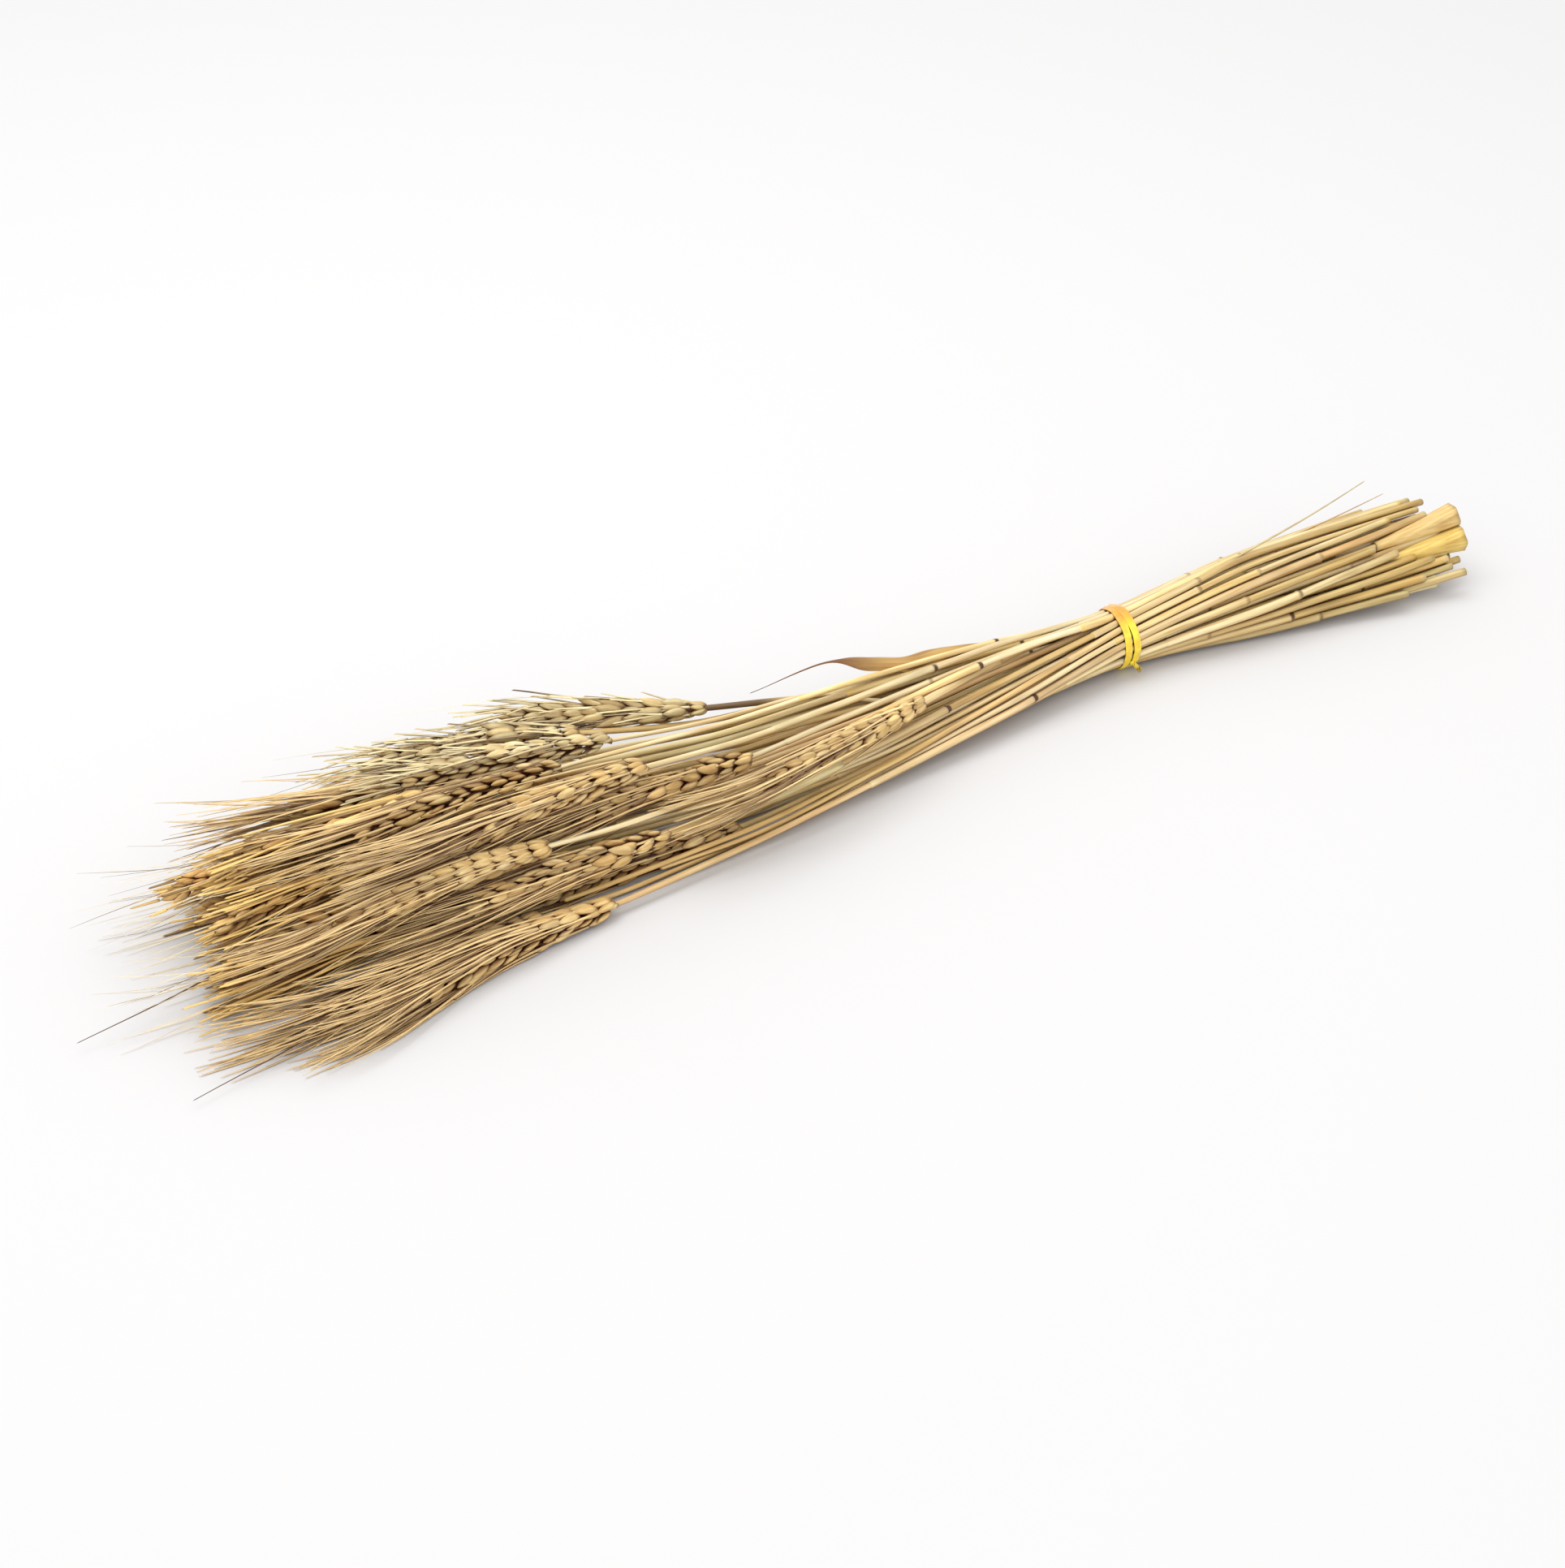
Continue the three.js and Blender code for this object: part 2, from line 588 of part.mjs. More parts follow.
function stalkSolid(stalk) {
  if (stalk.isLoose) return cutAtFloor(strawOf(stalk));
  const parts = [strawOf(stalk), rachisOf(stalk)];
  if (stalk.index === LEAF_STALK) parts.push(leafOf(stalk));
  for (let order = 0; order <= SPIKELETS; order++) parts.push(spikeletOf(stalk, order));
  return cutAtFloor(wasm.Manifold.union(parts)).simplify(0.01);
}

// The tie: two turns of a flat strip side by side, drawn tight round the straws. A line drawn tight
// round them touches each bearing's furthest straw, so its corners are where neighbouring tangents
// meet. It is pressed flat on the table below, as if it also held two small rods there.
const TIE_WIDTH = 6; // both turns
const TIE_THICKNESS = 0.6;
const TIE_GAP = 0.3;
const TIE_BEARINGS = 28;
const TIE_FOOT = { half: 1.6, radius: 1.4 };
const TIE_FOOT_RODS = [-TIE_FOOT.half, TIE_FOOT.half].map((y) => ({
  y,
  z: TIE_GAP + TIE_THICKNESS + TIE_FOOT.radius,
  radius: TIE_FOOT.radius,
}));
const TIE_SLOT = 0.6; // between the two turns, on the front
function tieOutline(offset) {
  const step = (2 * Math.PI) / TIE_BEARINGS;
  const held = stalks.flatMap((stalk) =>
    TIE_PLANES.map((x) => ({ ...routeAt(stalk, x), radius: strawRadius(x) })),
  );
  const reach = Array.from({ length: TIE_BEARINGS }, (_, m) => {
    const c = Math.cos(m * step);
    const s = Math.sin(m * step);
    const reaches = [...held, ...TIE_FOOT_RODS].map(
      ({ y, z, radius }) => y * c + (z - TIE_CENTRE_Z) * s + radius,
    );
    return Math.max(...reaches) + offset;
  });
  return reach.map((here, m) => {
    const next = reach[(m + 1) % TIE_BEARINGS];
    const a = m * step;
    const b = a + step;
    return new THREE.Vector2(
      (here * Math.sin(b) - next * Math.sin(a)) / Math.sin(step),
      (next * Math.cos(a) - here * Math.cos(b)) / Math.sin(step) + TIE_CENTRE_Z,
    );
  });
}

function tieSolid() {
  const band = new THREE.Shape(tieOutline(TIE_GAP + TIE_THICKNESS));
  band.holes.push(new THREE.Path(tieOutline(TIE_GAP)));
  const turns = new THREE.ExtrudeGeometry(band, { depth: TIE_WIDTH, bevelEnabled: false });
  turns.translate(0, 0, -TIE_WIDTH / 2).rotateX(Math.PI / 2).rotateZ(Math.PI / 2);
  const slot = new THREE.BoxGeometry(TIE_SLOT, TIE_RADIUS * 2, TIE_RADIUS * 1.5);
  slot.translate(0, -TIE_RADIUS * 1.25, TIE_CENTRE_Z);
  return solidOf(turns).subtract(solidOf(slot)).add(twistedEnds());
}

// The two ends of the strip, twisted together where they leave the band low on the front.
const TWIST_LENGTH = 8;
const TWIST_HALF_WIDTH = 1.1;
const TWIST_TURNS = 0.75;
const TWIST_BEARING = 16; // the corner of the band that the ends leave from
const TWIST_DROP = radians(24); // how steeply they point down
function twistedEnds() {
  const ends = new THREE.CylinderGeometry(TWIST_HALF_WIDTH, TWIST_HALF_WIDTH, TWIST_LENGTH, 4, 5);
  const at = ends.attributes.position;
  const corner = new THREE.Vector3();
  const axis = new THREE.Vector3(0, 1, 0);
  for (let i = 0; i < at.count; i++) {
    corner.fromBufferAttribute(at, i);
    corner.applyAxisAngle(axis, (corner.y / TWIST_LENGTH) * TWIST_TURNS * 2 * Math.PI);
    at.setXYZ(i, corner.x, corner.y, corner.z);
  }
  const root = tieOutline(TIE_GAP + TIE_THICKNESS / 2)[TWIST_BEARING];
  ends.translate(0, TWIST_LENGTH / 2, 0).rotateX(Math.PI + TWIST_DROP);
  ends.translate(TIE_WIDTH / 4, root.x, root.y);
  return solidOf(ends);
}

// Dry straw in the tones of the bundle: golden, olive where it dried green, orange where it is ripest.
const STRAW_TONES = [0xd9bf83, 0xc4b173, 0xd3a766];
const TIE_COLOUR = 0xe8b92c;

const bundle = new THREE.Group();
const laid = new THREE.Group();
bundle.add(laid);
function addPiece(name, solid, color, roughness) {
  const finish = new THREE.MeshStandardMaterial({ color, roughness, metalness: 0 });
  const mesh = new THREE.Mesh(geometryOf(solid), finish);
  mesh.name = name;
  laid.add(mesh);
}

for (const stalk of stalks) {
  const kind = stalk.isLoose ? "straw" : "stalk";
  const name = `${kind}_${String(stalk.index + 1).padStart(2, "0")}`;
  addPiece(name, stalkSolid(stalk), STRAW_TONES[stalk.tone], 0.55);
}
addPiece("tie", tieSolid(), TIE_COLOUR, 0.35);

// The origin is at the middle of the bundle, on the table.
const middle = new THREE.Box3().setFromObject(laid).getCenter(new THREE.Vector3());
laid.position.set(-middle.x, -middle.y, 0);

export default bundle;
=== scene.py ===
"""Looks of a bundle of dried bearded wheat: stalks grown in one piece, loose straws and a yellow tie.

Every length is in metres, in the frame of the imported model: +X runs along the straws towards the cut
ends, +Z is up, and the bundle lies on z = 0. Each stalk follows the middle of its solid in that model.
"""

import logging
import math
from dataclasses import dataclass, fields, replace
from enum import Enum

import bpy
import numpy as np
from numpy.typing import NDArray
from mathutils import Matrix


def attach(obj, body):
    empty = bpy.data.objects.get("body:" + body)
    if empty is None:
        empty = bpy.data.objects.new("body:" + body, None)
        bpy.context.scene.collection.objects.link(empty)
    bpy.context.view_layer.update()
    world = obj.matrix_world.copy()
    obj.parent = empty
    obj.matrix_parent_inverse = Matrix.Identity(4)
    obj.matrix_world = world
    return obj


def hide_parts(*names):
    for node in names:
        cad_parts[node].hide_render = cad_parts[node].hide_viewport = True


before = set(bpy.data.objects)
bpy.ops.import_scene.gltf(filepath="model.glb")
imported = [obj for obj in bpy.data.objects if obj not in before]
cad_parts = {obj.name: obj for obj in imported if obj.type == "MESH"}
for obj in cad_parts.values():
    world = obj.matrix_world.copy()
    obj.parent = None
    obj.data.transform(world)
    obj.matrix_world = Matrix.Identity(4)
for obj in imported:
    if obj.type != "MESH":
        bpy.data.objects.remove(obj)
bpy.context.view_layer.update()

Array = NDArray[np.float64]
Whole = NDArray[np.int64]
Random = np.random.Generator
Material = bpy.types.Material
Piece = bpy.types.Object
Span = tuple[float, float]
Place = tuple[float, float, float]
LOG = logging.getLogger("wheat")
MM = 0.001
SQUARE_MM = MM * MM
TURN = 2 * math.pi
TINY = 1e-12
BODY = "root"
STALK_COUNT = 30
STRAW_COUNT = 19
FIRST_SEED = 700


def linear(code: str) -> Array:
    """Turns an sRGB hex colour into the linear values that the shaders take.

    Args:
        code: the colour as six hex digits after a #.

    Returns:
        Red, green and blue from 0 to 1.
    """
    parts = np.array([int(code[i : i + 2], 16) for i in (1, 3, 5)]) / 255
    return np.where(parts <= 0.04045, parts / 12.92, ((parts + 0.055) / 1.055) ** 2.4)


def unit(vectors: Array) -> Array:
    """Scales vectors, along the last axis, to length 1."""
    return vectors / np.maximum(np.linalg.norm(vectors, axis=-1, keepdims=True), TINY)


def blend(first: Array | float, second: Array | float, share: Array | float) -> Array:
    """Goes evenly from the first value, at share 0, to the second, at share 1."""
    return first + (second - first) * share


def smoothstep(low: float, high: float, value: Array) -> Array:
    """Rises from 0 at low to 1 at high, level at both ends: t squared times (3 - 2t)."""
    t = np.clip((value - low) / (high - low), 0, 1)
    return t * t * (3 - 2 * t)


def between(places: Array, stops: Array, rows: Array) -> Array:
    """Reads rows of values, one for each stop, at places between the stops."""
    return np.stack([np.interp(places, stops, column) for column in rows.T], axis=-1)


def bearings(count: int) -> Array:
    """Divides a full turn into so many even angles."""
    return np.arange(count) / count * TURN


def circle(angle: Array) -> Array:
    """Gives the cosine and the sine of angles, along a new last axis."""
    return np.stack([np.cos(angle), np.sin(angle)], axis=-1)


def moved(points: Array, basis: Array, offset: Array) -> Array:
    """Moves points by (side, up) offsets: each part times its row of the basis."""
    return points + np.einsum("...k,...kx->...x", offset, basis[..., 1:, :])


def unbent(distance: Array, offset: Array) -> Array:
    """Puts distances along a straight stalk and (side, up) offsets together."""
    return np.concatenate([np.broadcast_to(distance[..., None], (*offset.shape[:-1], 1)), offset], axis=-1)


def both_faces(across: Array) -> tuple[Array, Array]:
    """Goes across a thin sheet and back, with 1 on the way there and -1 on the way back."""
    return np.concatenate([across, across[::-1]]), np.repeat([1.0, -1.0], len(across))


def softened(values: Array, reach: float) -> Array:
    """Blurs rows of values with a bell curve, and keeps the slope at both ends.

    Args:
        values: one row a sample.
        reach: the bell's standard deviation, in samples.

    Returns:
        As many rows.
    """
    half = int(3 * reach)
    weights = np.exp(-0.5 * (np.arange(-half, half + 1) / reach) ** 2)
    weights /= weights.sum()
    before = 2 * values[0] - values[half:0:-1]
    after = 2 * values[-1] - values[-2 : -half - 2 : -1]
    padded = np.concatenate([before, values, after])
    return np.stack([np.convolve(column, weights, "valid") for column in padded.T], axis=1)


def corners_of(mesh: bpy.types.Mesh) -> Array:
    """Reads a mesh's corners.

    Args:
        mesh: the mesh.

    Returns:
        The corners as (corner, xyz).
    """
    places = np.empty(len(mesh.vertices) * 3)
    mesh.vertices.foreach_get("co", places)
    return places.reshape(-1, 3)


@dataclass(frozen=True)
class Line:
    """A line through space, with a forward, a side and an up direction at each of its points."""

    points: Array
    along: Array
    forward: Array

    @classmethod
    def through(cls, points: Array) -> "Line":
        """Makes the line from points that lie close together."""
        steps = np.linalg.norm(np.diff(points, axis=0), axis=1)
        return cls(points, np.concatenate([[0.0], np.cumsum(steps)]), unit(np.gradient(points, axis=0)))

    def at_x(self, x: Array) -> Array:
        """Finds how far along the line a place x is. The line runs towards -X."""
        return np.interp(x, self.points[::-1, 0], self.along[::-1])

    def place(self, distance: Array) -> tuple[Array, Array]:
        """Finds points of the line. Past its ends it runs on straight.

        Args:
            distance: how far along the line, of any shape.

        Returns:
            The points, and at each one a matrix whose rows are forward, side and up. Side crossed with
            up is forward, and up is the direction nearest to +Z.
        """
        inside = np.clip(distance, 0, self.along[-1])
        forward = unit(between(inside, self.along, self.forward))
        point = between(inside, self.along, self.points) + forward * (distance - inside)[..., None]
        side = unit(np.cross([0.0, 0.0, 1.0], forward))
        return point, np.stack([forward, side, np.cross(forward, side)], axis=-2)


@dataclass(frozen=True)
class Shell:
    """Closed surfaces of one mesh, with what the finishes read at each corner.

    grown is where a corner lay before its stalk bent, and tint is its colour, with painted shade on the
    undersides of straws. The last share says how dark and brown it is, from real stains and from painted
    shade in bores, scale roots, sheaths and the tie's twisted ends.
    """

    corners: Array
    quads: Whole
    triangles: Whole
    grown: Array
    tint: Array
    stain: Array
    quad_finish: Whole
    triangle_finish: Whole

    @classmethod
    def joined(cls, shells: list["Shell"]) -> "Shell":
        """Puts several shells into one.

        Args:
            shells: the shells, each with its corners numbered from 0.

        Returns:
            The shell of all their faces.
        """
        starts = np.cumsum([0] + [len(shell.corners) for shell in shells[:-1]])
        counted_on = [
            replace(shell, quads=shell.quads + start, triangles=shell.triangles + start)
            for shell, start in zip(shells, starts)
        ]
        names = [item.name for item in fields(cls)]
        return cls(*(np.concatenate([getattr(shell, name) for shell in counted_on]) for name in names))


def lofted(
    rings: Array,
    first: Array,
    last: Array,
    finish: int = 0,
    tint: Array | float = 1.0,
    stain: Array | float = 0.0,
    grown: Array | None = None,
) -> Shell:
    """Closes tubes over rings of corners, with a pole at each end.

    Args:
        rings: corners as (tube, ring, corner, xyz), or without tube for a single one. They run round the
            way in which side turns to up.
        first: the pole before the first ring of each tube.
        last: the pole after the last ring of each tube.
        finish: the number of the finish on every face.
        tint: a colour that can be spread over (tube, ring, corner, rgb).
        stain: shares of brown, from stains and from painted shade, that can be spread over (tube, ring,
            corner).
        grown: the corners before the stalk bent, or None where that is where they are.

    Returns:
        The shell of all tubes, with its faces outwards.
    """
    rings = rings.reshape(-1, *rings.shape[-3:])
    tubes, count, sides, _ = rings.shape
    size = count * sides + 2
    start = (np.arange(tubes) * size)[:, None, None]
    here = np.arange(sides)
    after = (here + 1) % sides
    low = start + np.arange(count - 1)[:, None] * sides
    quads = np.stack([low + here, low + after, low + sides + after, low + sides + here], axis=-1)
    quads = quads.reshape(-1, 4)
    cap = start[:, 0]
    end = cap + (count - 1) * sides
    pole = np.broadcast_to(cap + size - 2, (tubes, sides))
    front = np.stack([pole, cap + after, cap + here], axis=-1)
    back = np.stack([pole + 1, end + here, end + after], axis=-1)
    triangles = np.concatenate([front, back]).reshape(-1, 3)
    tips = [np.broadcast_to(tip, (tubes, 3))[:, None] for tip in (first, last)]
    corners = np.concatenate([rings.reshape(tubes, -1, 3), *tips], axis=1).reshape(-1, 3)

    def per_corner(values: Array | float, width: int) -> Array:
        """Spreads ring values over all corners, and gives each pole those of the corner beside it."""
        spread = np.broadcast_to(values, (tubes, count, sides, width)).reshape(tubes, -1, width)
        return np.concatenate([spread, spread[:, [0, -1]]], axis=1).reshape(-1, width)

    return Shell(
        corners=corners,
        quads=quads,
        triangles=triangles,
        grown=corners if grown is None else per_corner(grown, 3),
        tint=per_corner(tint, 3),
        stain=per_corner(np.asarray(stain)[..., None], 1)[:, 0],
        quad_finish=np.full(len(quads), finish),
        triangle_finish=np.full(len(triangles), finish),
    )


def shown(name: str, shell: Shell, finishes: list[Material]) -> Piece:
    """Makes the Blender object of a shell.

    Args:
        name: the object's name.
        shell: its surfaces.
        finishes: its materials, in the order of the shell's finish numbers.

    Returns:
        The object, at the origin, with its place in its mesh.
    """
    mesh = bpy.data.meshes.new(name)
    mesh.from_pydata(shell.corners, [], shell.quads.tolist() + shell.triangles.tolist())
    for material in finishes:
        mesh.materials.append(material)
    finish = np.concatenate([shell.quad_finish, shell.triangle_finish]).astype(np.int32)
    mesh.polygons.foreach_set("material_index", finish)
    mesh.polygons.foreach_set("use_smooth", np.ones(len(finish), bool))
    colour = np.column_stack([shell.tint, np.ones(len(shell.tint))])
    for kind, label, key, values in (
        ("FLOAT_VECTOR", "grown", "vector", shell.grown),
        ("FLOAT_COLOR", "tint", "color", colour),
        ("FLOAT", "stain", "value", shell.stain),
    ):
        layer = mesh.attributes.new(label, kind, "POINT")
        layer.data.foreach_set(key, values.astype(np.float32).ravel())
    mesh.update()
    piece = bpy.data.objects.new(name, mesh)
    bpy.context.scene.collection.objects.link(piece)
    return piece


class Tone(Enum):
    """What straw or chaff dried to."""

    GOLDEN = "#dcc082"
    PALE = "#efe0b6"
    OLIVE = "#dfd2a0"
    ROSY = "#debd8a"
    ORANGE = "#f2cc84"
    YELLOW = "#f0cf74"
    HONEY = "#e6c974"
    SAND = "#efd09e"
    BRONZE = "#a67c50"
    # Not a plant colour: fibres of this colour are painted shadow, dark lines along a shaded gap between
    # ears.
    DARK = "#6a4c38"

    @property
    def colour(self) -> Array:
        """The linear colour."""
        return linear(self.value)


def picked(tones: tuple[Tone, ...], count: int, random: Random) -> Array:
    """Picks so many of the tones' colours by chance."""
    return np.stack([tone.colour for tone in tones])[random.integers(len(tones), size=count)]


@dataclass(frozen=True)
class Course:
    """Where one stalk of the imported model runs: its middle line and the places along it, in metres."""

    line: Line
    ear_base: float
    ear_tip: float
    reach: float
    row_bearing: float
    knots: tuple[float, ...]
    far_section: Array

    STEP = 1.0 * MM
    END_GAP = 0.4 * MM
    CHAFF_AREA = 5.0 * SQUARE_MM
    LEAST_AREA = 0.3 * SQUARE_MM
    CORE_LENGTH = 81.0 * MM
    TIP_LENGTH = 3.0 * MM
    BELL = 11.0
    TRIMS = (5.0 * MM, 3.4 * MM, 2.4 * MM)
    KNOT_AREA = 1.22
    KNOT_WINDOW = 12
    KNOT_GAP = 4
    KNOT_PLANES = (2, 8)
    LEAF_GAP = 0.6 * MM
    LEAF_PLANES = 8

    @classmethod
    def read(cls, node: str, has_ear: bool) -> "Course":
        """Reads a stalk's course from the cross-sections of its solid.

        Args:
            node: the name of the stalk's node.
            has_ear: whether it still has its ear.

        Returns:
            The course, from the cut end towards the awns.
        """
        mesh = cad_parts[node].data
        numbers = np.empty(len(mesh.loops), np.int32)
        mesh.loops.foreach_get("vertex_index", numbers)
        triangles = corners_of(mesh)[numbers].reshape(-1, 3, 3)
        low, high = triangles[..., 0].min(), triangles[..., 0].max()
        planes = np.arange(high - cls.END_GAP, low + cls.END_GAP, -cls.STEP)
        count = len(planes)
        cuts = cls._crossings(triangles, planes)
        area, middle = cls._sections(cuts, count)
        plane, start, end, _ = cuts
        halfway = (start + end) / 2
        ear_tip = ear_base = count - 1
        if has_ear:
            ear_tip = int(np.flatnonzero(area > cls.CHAFF_AREA)[-1])
            ear_base = ear_tip - int(cls.CORE_LENGTH / cls.STEP)
        for trim in cls.TRIMS:
            far = np.linalg.norm(halfway - softened(middle, cls.BELL)[plane], axis=1)
            kept = (far < trim) | (plane >= ear_base)
            _, middle = cls._sections([values[kept] for values in cuts], count)
        middle = softened(middle, cls.BELL)
        line = Line.through(np.column_stack([planes, middle]))
        offsets = (halfway - middle[plane])[(plane > ear_base) & (plane < ear_tip)]
        spread = np.linalg.eigh(offsets.T @ offsets)[1][:, 1]
        window = cls.KNOT_WINDOW
        straw = area[: ear_base - window]
        usual = [np.median(straw[max(0, i - window) : i + window]) for i in range(len(straw))]
        peaks = np.flatnonzero(straw > np.array(usual) * cls.KNOT_AREA)
        groups = np.split(peaks, np.flatnonzero(np.diff(peaks) > cls.KNOT_GAP) + 1)
        fewest, most = cls.KNOT_PLANES
        knots = [line.along[int(group.mean())] for group in groups if fewest <= len(group) <= most]
        is_leaf = (far > trim + cls.LEAF_GAP) & (plane < ear_base - cls.LEAF_PLANES)
        return cls(
            line=line,
            ear_base=line.along[ear_base],
            ear_tip=line.along[ear_base] + cls.CORE_LENGTH + cls.TIP_LENGTH,
            reach=line.along[-1],
            row_bearing=math.atan2(spread[1], spread[0]),
            knots=tuple(knots),
            far_section=np.column_stack([planes[plane], halfway])[is_leaf],
        )

    @staticmethod
    def _crossings(triangles: Array, planes: Array) -> list[Array]:
        """Cuts triangles by planes of constant x.

        Args:
            triangles: corners as (triangle, corner, xyz).
            planes: the x of each plane.

        Returns:
            For each cut: the plane's number, the (y, z) of the cut's two ends, and which way it runs.
        """
        above = triangles[None, :, :, 0] > planes[:, None, None]
        count = above.sum(axis=2)
        plane, which = np.nonzero((count > 0) & (count < 3))
        sides = above[plane, which]
        lone_is_above = count[plane, which] == 1
        lone = np.where(lone_is_above, sides.argmax(axis=1), (~sides).argmax(axis=1))
        order = (lone[:, None] + np.arange(3)) % 3
        corners = triangles[which][np.arange(len(which))[:, None], order]
        height = corners[:, :, 0] - planes[plane][:, None]
        share = (height[:, :1] / (height[:, :1] - height[:, 1:]))[..., None]
        ends = blend(corners[:, :1, 1:], corners[:, 1:, 1:], share)
        return [plane, ends[:, 0], ends[:, 1], np.where(lone_is_above, 1.0, -1.0)]

    @classmethod
    def _sections(cls, cuts: list[Array], count: int) -> tuple[Array, Array]:
        """Works out each section's area and middle: sums over its cuts of the cross product of their ends.

        Args:
            cuts: the cuts, as _crossings gives them.
            count: how many planes there are.

        Returns:
            The area and the (y, z) of the middle, for each plane.
        """
        plane, start, end, turn = cuts
        cross = turn * (start[:, 0] * end[:, 1] - start[:, 1] * end[:, 0]) / 2
        area = np.bincount(plane, cross, count)
        sums = [np.bincount(plane, cross * column / 3, count) for column in (start + end).T]
        known = np.flatnonzero(np.abs(area) > cls.LEAST_AREA)
        middle = np.column_stack(sums)[known] / area[known, None]
        return np.abs(area), between(np.arange(count), known, middle)


class Part(Enum):
    """The finishes of a stalk, in the order of its material slots."""

    STRAW = 0
    CHAFF = 1
    AWN = 2


